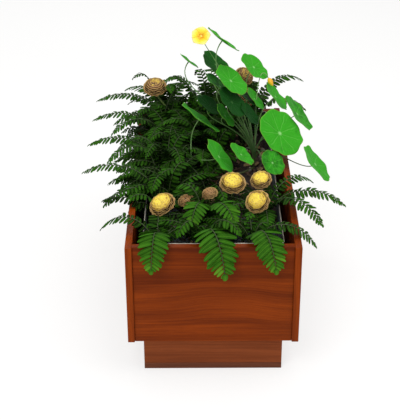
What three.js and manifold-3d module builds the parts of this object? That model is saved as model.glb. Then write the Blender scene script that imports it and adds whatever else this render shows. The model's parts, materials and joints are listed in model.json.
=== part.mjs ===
// A planted timber trough: a board box on a recessed plinth, with a lift-out metal liner that holds
// gravel, soil, sword ferns, a trailing nasturtium and double flower heads.
// Millimetres, +Z up. X runs across the trough and Y along it, with the front end at -Y.
// The origin is the middle of the trough's footprint, on the floor.
import * as THREE from "three";
import { mergeVertices } from "three/addons/utils/BufferGeometryUtils.js";
import Module from "manifold-3d";

const wasm = await Module();
wasm.setup();

// Timber box
const LENGTH = 800;
const WIDTH = 400;
const BOX_HEIGHT = 255;
const SIDE_BOARD = 16;
const END_BOARD = 16;
const END_RECESS = 4.5; // how far an end panel sits back between the side boards
const BASE_BOARD = 16;
const BATTEN_WIDTH = 18; // across the trough, less than the gap beside the liner
const BATTEN_LENGTH = 30;
const BATTEN_DROP = 22; // from the top of the box to the top of a batten

// Plinth
const PLINTH_HEIGHT = 100;
const PLINTH_INSET = 35;
const PLINTH_BOARD = 16;
const FOOT_HEIGHT = 16; // the darker strip that the plinth stands on
const FOOT_BAR = 40;
const CROSS_RAIL = 18;
const BLOCK_SIZE = 26;
const BLOCK_HEIGHT = 60;

// Screws that hold the base board down to the corner blocks
const SCREW_RADIUS = 2;
const SCREW_HEAD_RADIUS = 4.2;
const SCREW_HEAD_DEPTH = 3;
const SCREW_LENGTH = 44;
const SCREW_SIDES = 12;

// Liner and what fills it
const LINER_SIDE_GAP = 22.5;
const LINER_END_GAP = 1.5;
const LINER_SHEET = 1.5;
const RIM_BEAD = 4;
const LINER_DROP = 0; // from the top of the box to the liner's rim
const SOIL_DROP = 50; // from the liner's rim to the soil
const GRAVEL_DEPTH = 35;
const FILTER_MAT = 3;

const GAP = 0.3; // between pieces that touch, so that no two solids overlap
const SMALLEST_EDGE = 0.002; // shorter edges that a cut or a join leaves are merged away

// Planting. Its points are set out for a liner of these half sizes, and spread with the liner.
const PLANTED_HALF_WIDTH = 161.5;
const PLANTED_HALF_LENGTH = 378;
const FROND_THICKNESS = 2;
const FROND_STATIONS = 9;
const STIPE_HALF_WIDTH = 3;
const CROWN_RADIUS = 14;
const CROWN_HEIGHT = 16;
const LEAF_THICKNESS = 1.6;
const LEAF_SIDES = 20;
const LEAF_DISH = 0.1; // depth of a nasturtium leaf's dish, as a share of its radius
const PETIOLE_RADIUS = 2;
const PETIOLE_RISE = 36.5; // more than the width of the edge that a leaf stalk has to cross
const STEM_RADIUS = 4;
const TUBE_SIDES = 6;
const HEAD_HEIGHT = 0.62; // height of a double flower head, as a share of its width

// Levels and half sizes that the pieces share
const boxTop = PLINTH_HEIGHT + BOX_HEIGHT;
const baseTop = PLINTH_HEIGHT + BASE_BOARD;
const innerX = WIDTH / 2 - SIDE_BOARD;
const endOuterY = LENGTH / 2 - END_RECESS;
const innerY = endOuterY - END_BOARD;
const plinthX = WIDTH / 2 - PLINTH_INSET;
const plinthY = LENGTH / 2 - PLINTH_INSET;
const plinthInnerX = plinthX - PLINTH_BOARD;
const plinthInnerY = plinthY - PLINTH_BOARD;
const rimX = innerX - LINER_SIDE_GAP;
const rimY = innerY - LINER_END_GAP;
const rimTop = boxTop - LINER_DROP;
const beadOverhang = (RIM_BEAD - LINER_SHEET) / 2;
const linerX = rimX - beadOverhang;
const linerY = rimY - beadOverhang;
const fillX = linerX - LINER_SHEET - GAP;
const fillY = linerY - LINER_SHEET - GAP;
const linerFloor = baseTop + LINER_SHEET;
const gravelTop = linerFloor + GAP + GRAVEL_DEPTH;
const matTop = gravelTop + GAP + FILTER_MAT;
const soilTop = rimTop - SOIL_DROP;

// Finishes
const finish = (color, roughness, metalness = 0) => ({ color, roughness, metalness });
const TEAK = finish(0x7a3311, 0.45);
const PLINTH_TEAK = finish(0x7d4126, 0.5);
const FOOT_TEAK = finish(0x5c3426, 0.55);
const RAW_TIMBER = finish(0xa98256, 0.8);
const STEEL = finish(0xb8b8b4, 0.3, 1);
const ZINC = finish(0x56606a, 0.45, 0.8);
const GRAVEL = finish(0x77716a, 0.9);
const FLEECE = finish(0xd8d8d0, 0.95);
const EARTH = finish(0x2a211d, 0.95);
const FERN_GREEN = finish(0x3f7a24, 0.55);
const LEAF_GREEN = finish(0x35a526, 0.45);
const STEM_GREEN = finish(0x6d9a4a, 0.5);
const GOLD = finish(0xc79a26, 0.6);
const YELLOW = finish(0xf0cf20, 0.5);

const trough = new THREE.Group();

function add(name, geometry, look, group = trough) {
  const mesh = new THREE.Mesh(geometry, new THREE.MeshStandardMaterial(look));
  mesh.name = name;
  group.add(mesh);
  return mesh;
}

// A closed geometry as a solid that can be joined and cut.
function solid(geometry) {
  const bare = geometry.index ? geometry.toNonIndexed() : geometry.clone();
  bare.deleteAttribute("normal");
  bare.deleteAttribute("uv");
  const merged = mergeVertices(bare, 1e-4);
  return new wasm.Manifold(
    new wasm.Mesh({
      numProp: 3,
      vertProperties: merged.attributes.position.array,
      triVerts: new Uint32Array(merged.index.array),
    }),
  );
}

function geometryOf(shape) {
  const { numProp, vertProperties, triVerts } = shape.simplify(SMALLEST_EDGE).getMesh();
  const position = new Float32Array((vertProperties.length / numProp) * 3);
  for (let i = 0; i < position.length / 3; i++)
    position.set(vertProperties.subarray(i * numProp, i * numProp + 3), i * 3);
  const geometry = new THREE.BufferGeometry();
  geometry.setAttribute("position", new THREE.BufferAttribute(position, 3));
  geometry.setIndex(new THREE.BufferAttribute(triVerts, 1));
  geometry.computeVertexNormals();
  return geometry;
}

const join = (geometries) => geometryOf(geometries.map(solid).reduce((a, b) => a.add(b)));
const cut = (body, tools) =>
  geometryOf(tools.map(solid).reduce((a, b) => a.subtract(b), solid(body)));

// A board between two opposite corners.
function board(x0, y0, z0, x1, y1, z1) {
  const geometry = new THREE.BoxGeometry(x1 - x0, y1 - y0, z1 - z0);
  return geometry.translate((x0 + x1) / 2, (y0 + y1) / 2, (z0 + z1) / 2);
}

// A turned solid about Z from a profile of [radius, height] points, the lowest first.
function turned(profile, sides) {
  const points = profile.map(([r, z]) => new THREE.Vector2(r, z));
  return new THREE.LatheGeometry(points, sides).rotateX(Math.PI / 2);
}

// A round rod along a curve.
function rod(curve, radius, steps) {
  const section = new THREE.Shape();
  for (let i = 0; i < TUBE_SIDES; i++) {
    const a = (2 * Math.PI * i) / TUBE_SIDES;
    section[i ? "lineTo" : "moveTo"](radius * Math.cos(a), radius * Math.sin(a));
  }
  const options = { steps, extrudePath: curve, bevelEnabled: false };
  return new THREE.ExtrudeGeometry(section, options);
}

// ---- Timber box ----------------------------------------------------------------------------

for (const [side, sx] of [["left", -1], ["right", 1]]) {
  const x = [sx * innerX, (sx * WIDTH) / 2].sort((a, b) => a - b);
  add(
    "side_board_" + side,
    board(x[0], -LENGTH / 2, PLINTH_HEIGHT, x[1], LENGTH / 2, boxTop),
    TEAK,
  );
}

for (const [end, sy] of [["front", -1], ["back", 1]]) {
  const y = [sy * innerY, sy * endOuterY].sort((a, b) => a - b);
  add("end_panel_" + end, board(-innerX, y[0], PLINTH_HEIGHT, innerX, y[1], boxTop), TEAK);
}

const corners = [
  ["front_left", -1, -1],
  ["front_right", 1, -1],
  ["back_left", -1, 1],
  ["back_right", 1, 1],
];

for (const [corner, sx, sy] of corners) {
  const x = [sx * (innerX - BATTEN_WIDTH), sx * innerX].sort((a, b) => a - b);
  const y = [sy * (innerY - BATTEN_LENGTH), sy * innerY].sort((a, b) => a - b);
  add(
    "corner_batten_" + corner,
    board(x[0], y[0], baseTop, x[1], y[1], boxTop - BATTEN_DROP),
    RAW_TIMBER,
  );
}

// ---- Screws, and the board and blocks they pass through -------------------------------------

const blockMiddle = [plinthInnerX - BLOCK_SIZE / 2, plinthInnerY - BLOCK_SIZE / 2];

// A countersunk screw that points down from its head's face, or with a clearance the hole for it.
function screw(clearance = 0) {
  const shank = SCREW_RADIUS + clearance;
  const head = SCREW_HEAD_RADIUS + clearance;
  const tip = -SCREW_LENGTH - clearance;
  const top = clearance ? 1 : 0;
  const profile = [
    [0, tip],
    [shank * 0.3, tip],
    [shank, tip + 2 * SCREW_RADIUS],
    [shank, -SCREW_HEAD_DEPTH - clearance],
    [head, -clearance],
    ...(top ? [[head, top]] : []),
    [0, top],
  ];
  return turned(profile, SCREW_SIDES);
}

const screwTop = baseTop - GAP;
const screwHoles = corners.map(([, sx, sy]) =>
  screw(GAP).translate(sx * blockMiddle[0], sy * blockMiddle[1], screwTop),
);

add(
  "base_board",
  cut(board(-innerX, -innerY, PLINTH_HEIGHT, innerX, innerY, baseTop), screwHoles),
  RAW_TIMBER,
);

corners.forEach(([corner, sx, sy], i) => {
  const half = BLOCK_SIZE / 2;
  const [x, y] = [sx * blockMiddle[0], sy * blockMiddle[1]];
  const low = PLINTH_HEIGHT - BLOCK_HEIGHT;
  const block = board(x - half, y - half, low, x + half, y + half, PLINTH_HEIGHT);
  add("plinth_block_" + corner, cut(block, [screwHoles[i]]), RAW_TIMBER);
  add("base_screw_" + corner, screw(), STEEL).position.set(x, y, screwTop);
});

// ---- Plinth --------------------------------------------------------------------------------

for (const [end, sy] of [["front", -1], ["back", 1]]) {
  const y = [sy * plinthInnerY, sy * plinthY].sort((a, b) => a - b);
  add(
    "plinth_rail_" + end,
    board(-plinthX, y[0], FOOT_HEIGHT, plinthX, y[1], PLINTH_HEIGHT),
    PLINTH_TEAK,
  );
}

for (const [side, sx] of [["left", -1], ["right", 1]]) {
  const x = [sx * plinthInnerX, sx * plinthX].sort((a, b) => a - b);
  add(
    "plinth_rail_" + side,
    board(x[0], -plinthInnerY, FOOT_HEIGHT, x[1], plinthInnerY, PLINTH_HEIGHT),
    PLINTH_TEAK,
  );
}

add(
  "plinth_cross_rail",
  board(-plinthInnerX, -CROSS_RAIL / 2, FOOT_HEIGHT, plinthInnerX, CROSS_RAIL / 2, PLINTH_HEIGHT),
  RAW_TIMBER,
);

// The foot is one glued frame: a ring under the plinth rails and a bar under the cross rail.
const footBays = [-1, 1].map((sy) => {
  const y = [(sy * FOOT_BAR) / 2, sy * plinthInnerY].sort((a, b) => a - b);
  return board(-plinthInnerX, y[0], -1, plinthInnerX, y[1], FOOT_HEIGHT + 1);
});
add(
  "foot_frame",
  cut(board(-plinthX, -plinthY, 0, plinthX, plinthY, FOOT_HEIGHT), footBays),
  FOOT_TEAK,
);

// ---- Liner and its filling -----------------------------------------------------------------

add(
  "liner",
  cut(
    join([
      board(-linerX, -linerY, baseTop, linerX, linerY, rimTop),
      board(-rimX, -rimY, rimTop - RIM_BEAD, rimX, rimY, rimTop),
    ]),
    [
      board(
        -linerX + LINER_SHEET,
        -linerY + LINER_SHEET,
        linerFloor,
        linerX - LINER_SHEET,
        linerY - LINER_SHEET,
        rimTop + 1,
      ),
    ],
  ),
  ZINC,
);
add("gravel_layer", board(-fillX, -fillY, linerFloor + GAP, fillX, fillY, gravelTop), GRAVEL);
add("filter_mat", board(-fillX, -fillY, gravelTop + GAP, fillX, fillY, matTop), FLEECE);
add("soil", board(-fillX, -fillY, matTop + GAP, fillX, fillY, soilTop), EARTH);

// ---- Sword ferns ---------------------------------------------------------------------------

// The plants' points are measured from the middle of the trough, at the level of the box's top.
const planting = new THREE.Group();
planting.position.z = boxTop;
planting.scale.set(rimX / PLANTED_HALF_WIDTH, rimY / PLANTED_HALF_LENGTH, 1);
trough.add(planting);

// A tapering blade along a curve, diamond in section, widest a third of the way along.
function blade(curve, halfWidth) {
  const positions = [];
  for (let i = 0; i < FROND_STATIONS; i++) {
    const t = i / (FROND_STATIONS - 1);
    const at = curve.getPoint(t);
    const along = curve.getTangent(t);
    const side = new THREE.Vector3(along.y, -along.x, 0).normalize();
    const normal = new THREE.Vector3().crossVectors(side, along);
    const spread = Math.sin(Math.PI * Math.min(1, t ** 0.75 * 0.9));
    const reach = STIPE_HALF_WIDTH + (halfWidth - STIPE_HALF_WIDTH) * spread;
    const rise = FROND_THICKNESS / 2;
    for (const [across, up] of [[reach, 0], [0, rise], [-reach, 0], [0, -rise]])
      positions.push(at.clone().addScaledVector(side, across).addScaledVector(normal, up));
  }
  const last = 4 * (FROND_STATIONS - 1);
  const faces = [0, 1, 2, 0, 2, 3, last, last + 2, last + 1, last, last + 3, last + 2];
  for (let i = 0; i < last; i += 4)
    for (let j = 0; j < 4; j++) {
      const [a, b] = [i + j, i + ((j + 1) % 4)];
      faces.push(a, a + 4, b, b, a + 4, b + 4);
    }
  return new THREE.BufferGeometry().setFromPoints(positions).setIndex(faces);
}

// A frond rises from its foot in the crown, arches over and hangs to its tip.
function frondCurve(foot, tip, arch) {
  const flat = new THREE.Vector3(tip.x - foot.x, tip.y - foot.y, 0);
  const high = Math.max(foot.z, tip.z) + arch;
  const rise = foot.clone().addScaledVector(flat, 0.12).setZ(high);
  const over = foot.clone().addScaledVector(flat, 0.72).setZ(high);
  return new THREE.CubicBezierCurve3(foot, rise, over, tip);
}

// A frond is its tip, across, along and above the box, then its half width and its arch.

const LEFT_ROW = -115; // across, to the crowns beside the left board
const LEFT_ROW_START = -125; // along, to the nearest of them
const LEFT_ROW_SPACING = 160;
const SIDE_REACH = 315; // across, to the tips of the longest side fronds

// A fern in the left row: two fronds hang out over the board and one turns in over the soil.
function leftFern(number, droop) {
  const y = LEFT_ROW_START + number * LEFT_ROW_SPACING;
  return {
    crown: [LEFT_ROW, y],
    fronds: [
      [-260, y - 60, 40 - droop, 26, 50],
      [-SIDE_REACH, y + 20, 45, 28, 40],
      [-55, y + 50, 45, 26, 35],
    ],
  };
}

const FERNS = {
  front_left: {
    crown: [-125, -335],
    fronds: [
      [-140, -430, -40, 38, 90],
      [-260, -290, -10, 26, 60],
    ],
  },
  front_centre: {
    crown: [-25, -325],
    fronds: [
      [25, -435, -50, 50, 100],
      [-80, -375, 20, 28, 40],
      [60, -370, 20, 28, 40],
    ],
  },
  front_right: {
    crown: [90, -325],
    fronds: [
      [140, -430, -40, 42, 90],
      [235, -350, -25, 26, 70],
    ],
  },
  right_near: {
    crown: [125, -180],
    fronds: [
      [SIDE_REACH, -205, 5, 28, 50],
      [255, -285, -5, 26, 60],
      [245, -120, 25, 24, 40],
    ],
  },
  centre: {
    crown: [-15, -225],
    fronds: [
      [-50, -315, 15, 36, 50],
      [50, -315, 15, 36, 50],
      [-85, -180, 40, 26, 30],
    ],
  },
  left_near: leftFern(0, 45),
  left_middle: leftFern(1, 5),
  left_far: leftFern(2, 0),
  back_left: {
    crown: [-105, 320],
    fronds: [
      [-SIDE_REACH, 350, 45, 28, 40],
      [-240, 430, 45, 28, 40],
      [-40, 270, 65, 26, 40],
      [-85, 450, 45, 26, 50],
    ],
  },
  back_centre: {
    crown: [10, 325],
    fronds: [
      [10, 450, 35, 30, 60],
      [60, 250, 55, 26, 40],
    ],
  },
  back_right: {
    crown: [110, 325],
    fronds: [
      [260, 400, 85, 28, 40],
      [260, 285, 45, 28, 40],
      [110, 450, 35, 26, 60],
    ],
  },
};

const crownFoot = soilTop + GAP - boxTop;

for (const [name, fern] of Object.entries(FERNS)) {
  const [x, y] = fern.crown;
  const middle = new THREE.Vector3(x, y, crownFoot + CROWN_HEIGHT / 2);
  const heart = turned(
    [
      [0, 0],
      [CROWN_RADIUS, 0],
      [CROWN_RADIUS, CROWN_HEIGHT / 2],
      [CROWN_RADIUS / 2, CROWN_HEIGHT],
      [0, CROWN_HEIGHT],
    ],
    8,
  ).translate(x, y, crownFoot);
  const blades = fern.fronds.map(([tx, ty, tz, halfWidth, arch]) => {
    const outward = new THREE.Vector3(tx - x, ty - y, 0).setLength(CROWN_RADIUS / 2);
    const foot = middle.clone().add(outward);
    return blade(frondCurve(foot, new THREE.Vector3(tx, ty, tz), arch), halfWidth);
  });
  add("fern_" + name, join([heart, ...blades]), FERN_GREEN, planting);
}

// ---- Nasturtium ----------------------------------------------------------------------------

// Two rooted nodes of one creeping stem, each the foot of some of the leaves.
const ROOTS = {
  right: new THREE.Vector3(115, 105, crownFoot + STEM_RADIUS),
  left: new THREE.Vector3(-50, -5, crownFoot + STEM_RADIUS),
};

// The leaves turn to the light, which comes from the right. These are the four ways that they
// face, as a tilt from level and a heading in degrees.
const FACES = { crown: [40, -20], side: [50, -5], front: [45, -45], away: [40, 20] };

// Each leaf: its root, the direction that its stalk leaves in, counted in degrees from straight
// right, the stalk's reach over the ground, the height above the box, the radius and the face.
const LEAVES = {
  top: ["right", 150, 100, 290, 50, "away"],
  crest: ["right", 180, 65, 200, 50, "crown"],
  crest_shade: ["right", 135, 145, 205, 45, "crown"],
  back_high: ["right", 90, 135, 185, 45, "crown"],
  back_low: ["right", 90, 60, 125, 35, "side"],
  right_back: ["right", 60, 115, 115, 45, "side"],
  broad: ["right", -45, 85, 80, 65, "front"],
  right_high: ["right", 15, 115, 95, 55, "side"],
  right_low: ["right", -30, 175, 5, 55, "side"],
  nook: ["right", -75, 145, 35, 35, "front"],
  left_back: ["right", 150, 200, 215, 30, "away"],
  inner: ["left", -45, 95, 70, 50, "side"],
  left_high: ["left", 75, 75, 110, 60, "away"],
};
const FLOWER = { root: "right", direction: 165, reach: 145, height: 305, radius: 25 };
const FLOWER_FACE = [50, -100];

// Where a stalk ends that reaches so far from its root in a direction, and so high.
function stalkEnd(root, direction, reach, height) {
  const turn = THREE.MathUtils.degToRad(direction);
  const { x, y } = ROOTS[root];
  return [x + reach * Math.cos(turn), y + reach * Math.sin(turn), height];
}

function facing(tilt, heading) {
  const [t, h] = [tilt, heading].map(THREE.MathUtils.degToRad);
  return new THREE.Vector3(Math.sin(t) * Math.cos(h), Math.sin(t) * Math.sin(h), Math.cos(t));
}

function place(mesh, at, normal) {
  mesh.position.set(...at);
  mesh.quaternion.setFromUnitVectors(new THREE.Vector3(0, 0, 1), normal);
}

// From the liner's rim to the outside of the box, on the planting's own scale.
const edgeWidth = (WIDTH / 2 - rimX) / planting.scale.x;

// A leaf stalk climbs from the root and meets the leaf's underside square on.
function petiole(root, at, normal) {
  const end = new THREE.Vector3(...at).addScaledVector(normal, -LEAF_THICKNESS / 2 - GAP);
  const length = end.distanceTo(root);
  const climb = edgeWidth + PETIOLE_RISE + 0.25 * length;
  const rise = root.clone().add(new THREE.Vector3(0, 0, climb));
  const under = end.clone().addScaledVector(normal, -0.3 * length);
  return rod(new THREE.CubicBezierCurve3(root, rise, under, end), PETIOLE_RADIUS, 10);
}

const petioles = [];
for (const [name, [root, direction, reach, rise, radius, face]] of Object.entries(LEAVES)) {
  const at = stalkEnd(root, direction, reach, rise);
  const normal = facing(...FACES[face]);
  const half = LEAF_THICKNESS / 2;
  const lift = LEAF_DISH * radius;
  const leaf = turned(
    [
      [0, -half],
      [radius * 0.2, -half],
      [radius, lift - half],
      [radius, lift + half],
      [radius * 0.2, half],
      [0, half],
    ],
    LEAF_SIDES,
  );
  place(add("nasturtium_leaf_" + name, leaf, LEAF_GREEN, planting), at, normal);
  petioles.push(petiole(ROOTS[root], at, normal));
}

const flowerNormal = facing(...FLOWER_FACE);
const flowerAt = stalkEnd(FLOWER.root, FLOWER.direction, FLOWER.reach, FLOWER.height);
const throat = LEAF_THICKNESS / 2;
const flower = turned(
  [
    [0, -throat],
    [FLOWER.radius * 0.2, -throat],
    [FLOWER.radius, FLOWER.radius * 0.45],
    [FLOWER.radius * 0.95, FLOWER.radius * 0.5],
    [FLOWER.radius * 0.15, throat],
    [0, throat],
  ],
  LEAF_SIDES,
);
place(add("nasturtium_flower", flower, YELLOW, planting), flowerAt, flowerNormal);
petioles.push(petiole(ROOTS[FLOWER.root], flowerAt, flowerNormal));

const runner = new THREE.CatmullRomCurve3([
  ROOTS.right,
  new THREE.Vector3(60, 62, ROOTS.right.z),
  new THREE.Vector3(5, 38, ROOTS.right.z),
  ROOTS.left,
]);
const stems = join([rod(runner, STEM_RADIUS, 10), ...petioles]);
add("nasturtium_stems", stems, STEM_GREEN, planting);

// ---- Double flower heads -------------------------------------------------------------------

// Each head: where its stalk is rooted, its centre, width, and the tilt and heading of its face.
const HEADS = {
  front_left: [[-110, -220], [-120, -250, 35], 60, 30, -150],
  front_middle: [[45, -165], [50, -140, 35], 60, 20, -90],
  front_right: [[95, -240], [105, -230, 30], 55, 40, -120],
  right: [[95, -110], [120, -105, 25], 50, 25, -120],
  back_left: [[-60, 235], [-150, 260, 125], 60, 20, -90],
  back_middle: [[70, 310], [95, 300, 140], 50, 40, -40],
  back_right: [[85, 240], [100, 235, 105], 50, 30, -60],
};

for (const [name, [foot, at, width, tilt, heading]] of Object.entries(HEADS)) {
  const normal = facing(tilt, heading);
  const radius = width / 2;
  const height = width * HEAD_HEIGHT;
  const head = turned(
    [
      [0, -height / 2],
      [radius * 0.45, -height * 0.44],
      [radius * 0.9, -height * 0.18],
      [radius, height * 0.08],
      [radius * 0.82, height * 0.34],
      [radius * 0.4, height / 2],
      [0, height / 2],
    ],
    12,
  );
  head.applyQuaternion(
    new THREE.Quaternion().setFromUnitVectors(new THREE.Vector3(0, 0, 1), normal),
  );
  head.translate(...at);
  const base = new THREE.Vector3(foot[0], foot[1], crownFoot);
  const neck = new THREE.Vector3(...at).addScaledVector(normal, -height * 0.4);
  const rise = base.clone().setZ(base.z + 0.5 * (neck.z - base.z));
  const under = neck.clone().addScaledVector(normal, -0.25 * (neck.z - base.z));
  const stalk = rod(new THREE.CubicBezierCurve3(base, rise, under, neck), PETIOLE_RADIUS, 8);
  add("flower_head_" + name, join([head, stalk]), GOLD, planting);
}

export default trough;
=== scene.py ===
import json
import math

import bmesh
import bpy
import numpy as np
from bpy.props import FloatProperty, FloatVectorProperty, IntProperty, PointerProperty
from mathutils import Matrix, Vector

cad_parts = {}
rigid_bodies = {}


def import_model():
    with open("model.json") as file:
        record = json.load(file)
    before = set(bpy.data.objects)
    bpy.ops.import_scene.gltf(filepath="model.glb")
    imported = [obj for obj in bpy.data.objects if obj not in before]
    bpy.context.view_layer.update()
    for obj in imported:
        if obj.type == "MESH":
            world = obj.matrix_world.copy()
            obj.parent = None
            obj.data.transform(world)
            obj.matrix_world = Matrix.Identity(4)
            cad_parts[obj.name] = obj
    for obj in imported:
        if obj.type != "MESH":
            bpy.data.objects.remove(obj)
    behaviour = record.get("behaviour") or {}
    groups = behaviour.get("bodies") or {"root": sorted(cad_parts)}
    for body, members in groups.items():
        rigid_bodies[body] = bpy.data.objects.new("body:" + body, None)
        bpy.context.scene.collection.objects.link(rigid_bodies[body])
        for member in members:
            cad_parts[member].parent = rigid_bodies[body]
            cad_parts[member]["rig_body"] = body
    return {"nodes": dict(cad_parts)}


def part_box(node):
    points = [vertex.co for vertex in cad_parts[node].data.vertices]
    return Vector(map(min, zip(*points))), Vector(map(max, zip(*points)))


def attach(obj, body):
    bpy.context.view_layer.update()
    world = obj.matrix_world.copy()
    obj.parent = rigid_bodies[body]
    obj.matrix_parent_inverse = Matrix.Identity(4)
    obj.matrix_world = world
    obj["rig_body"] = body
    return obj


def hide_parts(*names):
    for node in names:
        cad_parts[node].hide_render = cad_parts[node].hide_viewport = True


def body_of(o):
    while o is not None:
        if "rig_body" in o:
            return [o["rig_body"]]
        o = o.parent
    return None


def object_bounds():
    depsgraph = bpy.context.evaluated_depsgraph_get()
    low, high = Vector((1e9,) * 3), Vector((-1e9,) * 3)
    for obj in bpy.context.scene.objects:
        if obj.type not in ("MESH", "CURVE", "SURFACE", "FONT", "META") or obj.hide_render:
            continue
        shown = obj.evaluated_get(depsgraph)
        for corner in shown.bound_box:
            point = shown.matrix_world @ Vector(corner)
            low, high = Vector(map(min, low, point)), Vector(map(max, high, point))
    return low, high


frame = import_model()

bl_info = {
    "name": "Planted Trough",
    "version": (1, 0, 0),
    "blender": (4, 5, 0),
    "location": "View3D > Sidebar > Trough",
    "description": "A timber trough with a lift-out liner, sword ferns, a nasturtium and double flowers",
    "category": "Object",
}

CAD_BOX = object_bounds()
MM = 0.001
BOX_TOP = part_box("side_board_left")[1][2]
FROND_STEPS = 8  # a CAD frond has its ridge points at this many even steps
FROND_FOOT = 7 * MM  # from a crown's middle to the foot of a CAD frond
CROWN_REACH = 20 * MM  # the foot points of a crown lie nearer to their middle than this
HEADING_GAP = 0.004  # radians; ridge points of one frond differ by less in heading
FROND_THICKNESS = 2 * MM
STIPE_HALF_WIDTH = 3 * MM
CROWN_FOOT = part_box("soil")[1][2] + 0.3 * MM
HEAD_CAP = 0.4  # the flat top of a CAD flower head, as a share of its radius
HEAD_HEIGHT = 0.62  # height of a CAD flower head, as a share of its width
GOLDEN_ANGLE = math.pi * (3 - math.sqrt(5))  # between one leaf and the next round a stem
QUARTERS = np.array([[1, 1], [-1, 1], [-1, -1], [1, -1]])  # signs of x and y, quarter by quarter
SCALLOPS = 8  # waves along the edge of a fern leaflet
TWIGS = 26
PATH_POINTS = 97  # along a frond
BARE_STIPE = 30 * MM  # from a frond's foot to its first leaflets
FINE_FROND = 30 * MM  # fronds with a greater half width have finely shaped leaflets
STALK_CLIMB = 75 * MM  # how steeply a nasturtium stalk sets out from its root
LINER_SHEET = 1.5 * MM
FILL_CLEARANCE = 0.3 * MM  # between the liner's wall and what fills it
ARCH_MIDDLE, ARCH_REACH, ARCH_HEIGHT = 34, 92, 210  # mm, where the front panel's figure arches
HEART_HEIGHT = 212  # mm, the dark line of figure through the arch
WHITE = (1, 1, 1, 1)
CAMERA_PLACE = (-0.0323, -2.5609, 1.6126)  # metres
CAMERA_HEADING = math.radians(-0.06)  # from straight along the trough
CAMERA_ROLL = math.radians(-0.19)


def tone(red, green, blue):
    """A colour in screen values of 0 to 255, as the linear values that a material uses."""
    c = np.array([red, green, blue]) / 255
    return tuple(float(v) for v in np.where(c < 0.04045, c / 12.92, ((c + 0.055) / 1.055) ** 2.4))


# ---- Settings --------------------------------------------------------------------------------


def size(name, mm, description):
    return FloatProperty(
        name=name, description=description, default=mm * MM, min=0, subtype="DISTANCE", precision=4
    )


def share(name, default, description, top=1.0):
    return FloatProperty(name=name, description=description, default=default, min=0, max=top)


def colour(name, screen, description):
    return FloatVectorProperty(
        name=name, description=description, default=tone(*screen), subtype="COLOR", min=0, max=1
    )


def count(name, default, description):
    return IntProperty(name=name, description=description, default=default, min=1)


class TimberSettings(bpy.types.PropertyGroup):
    edge: size("Eased edge", 1.1, "Radius of the rounded edges of the boards")
    crest: size("Grain crest", 17, "How high the figure of the front panel rises in an arch")
    pale: colour("Board, pale", (139, 58, 8), "Early wood of the oiled boards")
    deep: colour("Board, deep", (92, 33, 4), "Late wood of the oiled boards")
    dark: colour("Board, dark line", (74, 24, 6), "Pores and the darkest figure of the boards")
    plinth_pale: colour("Plinth, pale", (144, 74, 38), "Early wood of the plinth")
    plinth_deep: colour("Plinth, deep", (112, 54, 26), "Late wood of the plinth")
    foot_pale: colour("Foot, pale", (112, 66, 46), "Early wood of the strip under the plinth")
    foot_deep: colour("Foot, deep", (82, 45, 33), "Late wood of the strip under the plinth")
    raw_pale: colour("Raw timber, pale", (190, 152, 104), "Early wood of the hidden timber")
    raw_deep: colour("Raw timber, deep", (150, 110, 68), "Late wood of the hidden timber")


class LinerSettings(bpy.types.PropertyGroup):
    corner: size("Corner radius", 7, "Radius of the liner's upright corners")
    zinc: colour("Zinc", (118, 126, 132), "The sheet where it is clean")
    stain: colour("Stain", (88, 102, 110), "The sheet where soil and water have dulled it")
    # Painted highlight: this pale colour along the rim stands for the light on the rolled bead.
    bead: colour("Rim", (176, 168, 154), "The rubbed bead along the rim")


class SoilSettings(bpy.types.PropertyGroup):
    unevenness: size("Unevenness", 3.2, "Height of the soil's lumps")
    pebbles: count("Pebbles", 300, "Number of small stones on the soil")
    chips: count("Bark and slate", 620, "Number of flat chips on the soil")
    scraps: count("Leaf scraps", 260, "Number of dry leaf scraps on the soil")
    seed: count("Seed", 7, "Seed of the mulch's random places")
    earth: colour("Soil, dark", (34, 25, 22), "Damp soil")
    crumb: colour("Soil, light", (74, 56, 46), "Dry crumbs of soil")
    slate: colour("Slate", (74, 86, 92), "Slate chips at the front")


class FernSettings(bpy.types.PropertyGroup):
    leaflet_gap: size("Leaflet spacing", 10.8, "Distance between leaflets along a large frond")
    leaflet_width: share("Leaflet width", 0.135, "Half width of a leaflet as a share of its length")
    fill: count("Short fronds", 9, "Number of short fronds that fill each plant")
    thicket: count("Thicket", 34, "Number of dark fronds in each thicket")
    seed: count("Seed", 11, "Seed of the fronds' random bends")
    # Painted shade: besides old leaflets, this dark colour stands for the shade deep inside the plants and
    # at the foot and edges of each leaflet.
    shade: colour("Frond, dark", (4, 15, 3), "Old leaflets")
    green: colour("Frond, green", (46, 96, 16), "Most leaflets")
    tip: colour("Frond, tip", (104, 158, 42), "Young leaflets at the ends")
    rib: colour("Rib", (44, 62, 18), "The midrib of a frond")


class NasturtiumSettings(bpy.types.PropertyGroup):
    veins: count("Veins", 9, "Number of main veins in a leaf")
    wave: share("Edge wave", 0.035, "Height of the waves at a leaf's edge, as a share of its radius")
    sheet: size("Leaf thickness", 0.9, "Thickness of a leaf")
    young: size("Young leaf", 36, "Radius of the two young leaves in the middle")
    shaded: count("Shaded leaves", 5, "Number of dark leaves in a spiral under the crest leaf")
    tier: size("Tier", 13, "How far each shaded leaf hangs below the one before")
    seed: count("Seed", 5, "Seed of the leaves' outlines")
    leaf: colour("Leaf", (50, 152, 28), "Upper side of a leaf")
    # Painted shade as well as mottling: this colour also paints the leaves that hang in shade.
    shade: colour("Leaf, dark", (18, 84, 16), "Darker parts of a leaf")
    vein: colour("Vein", (126, 202, 96), "Veins and the pale spot in the middle")
    stalk: colour("Stalk", (118, 156, 88), "Leaf stalks and the creeping stem")
    petal: colour("Petal", (248, 214, 30), "The yellow flower")


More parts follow.
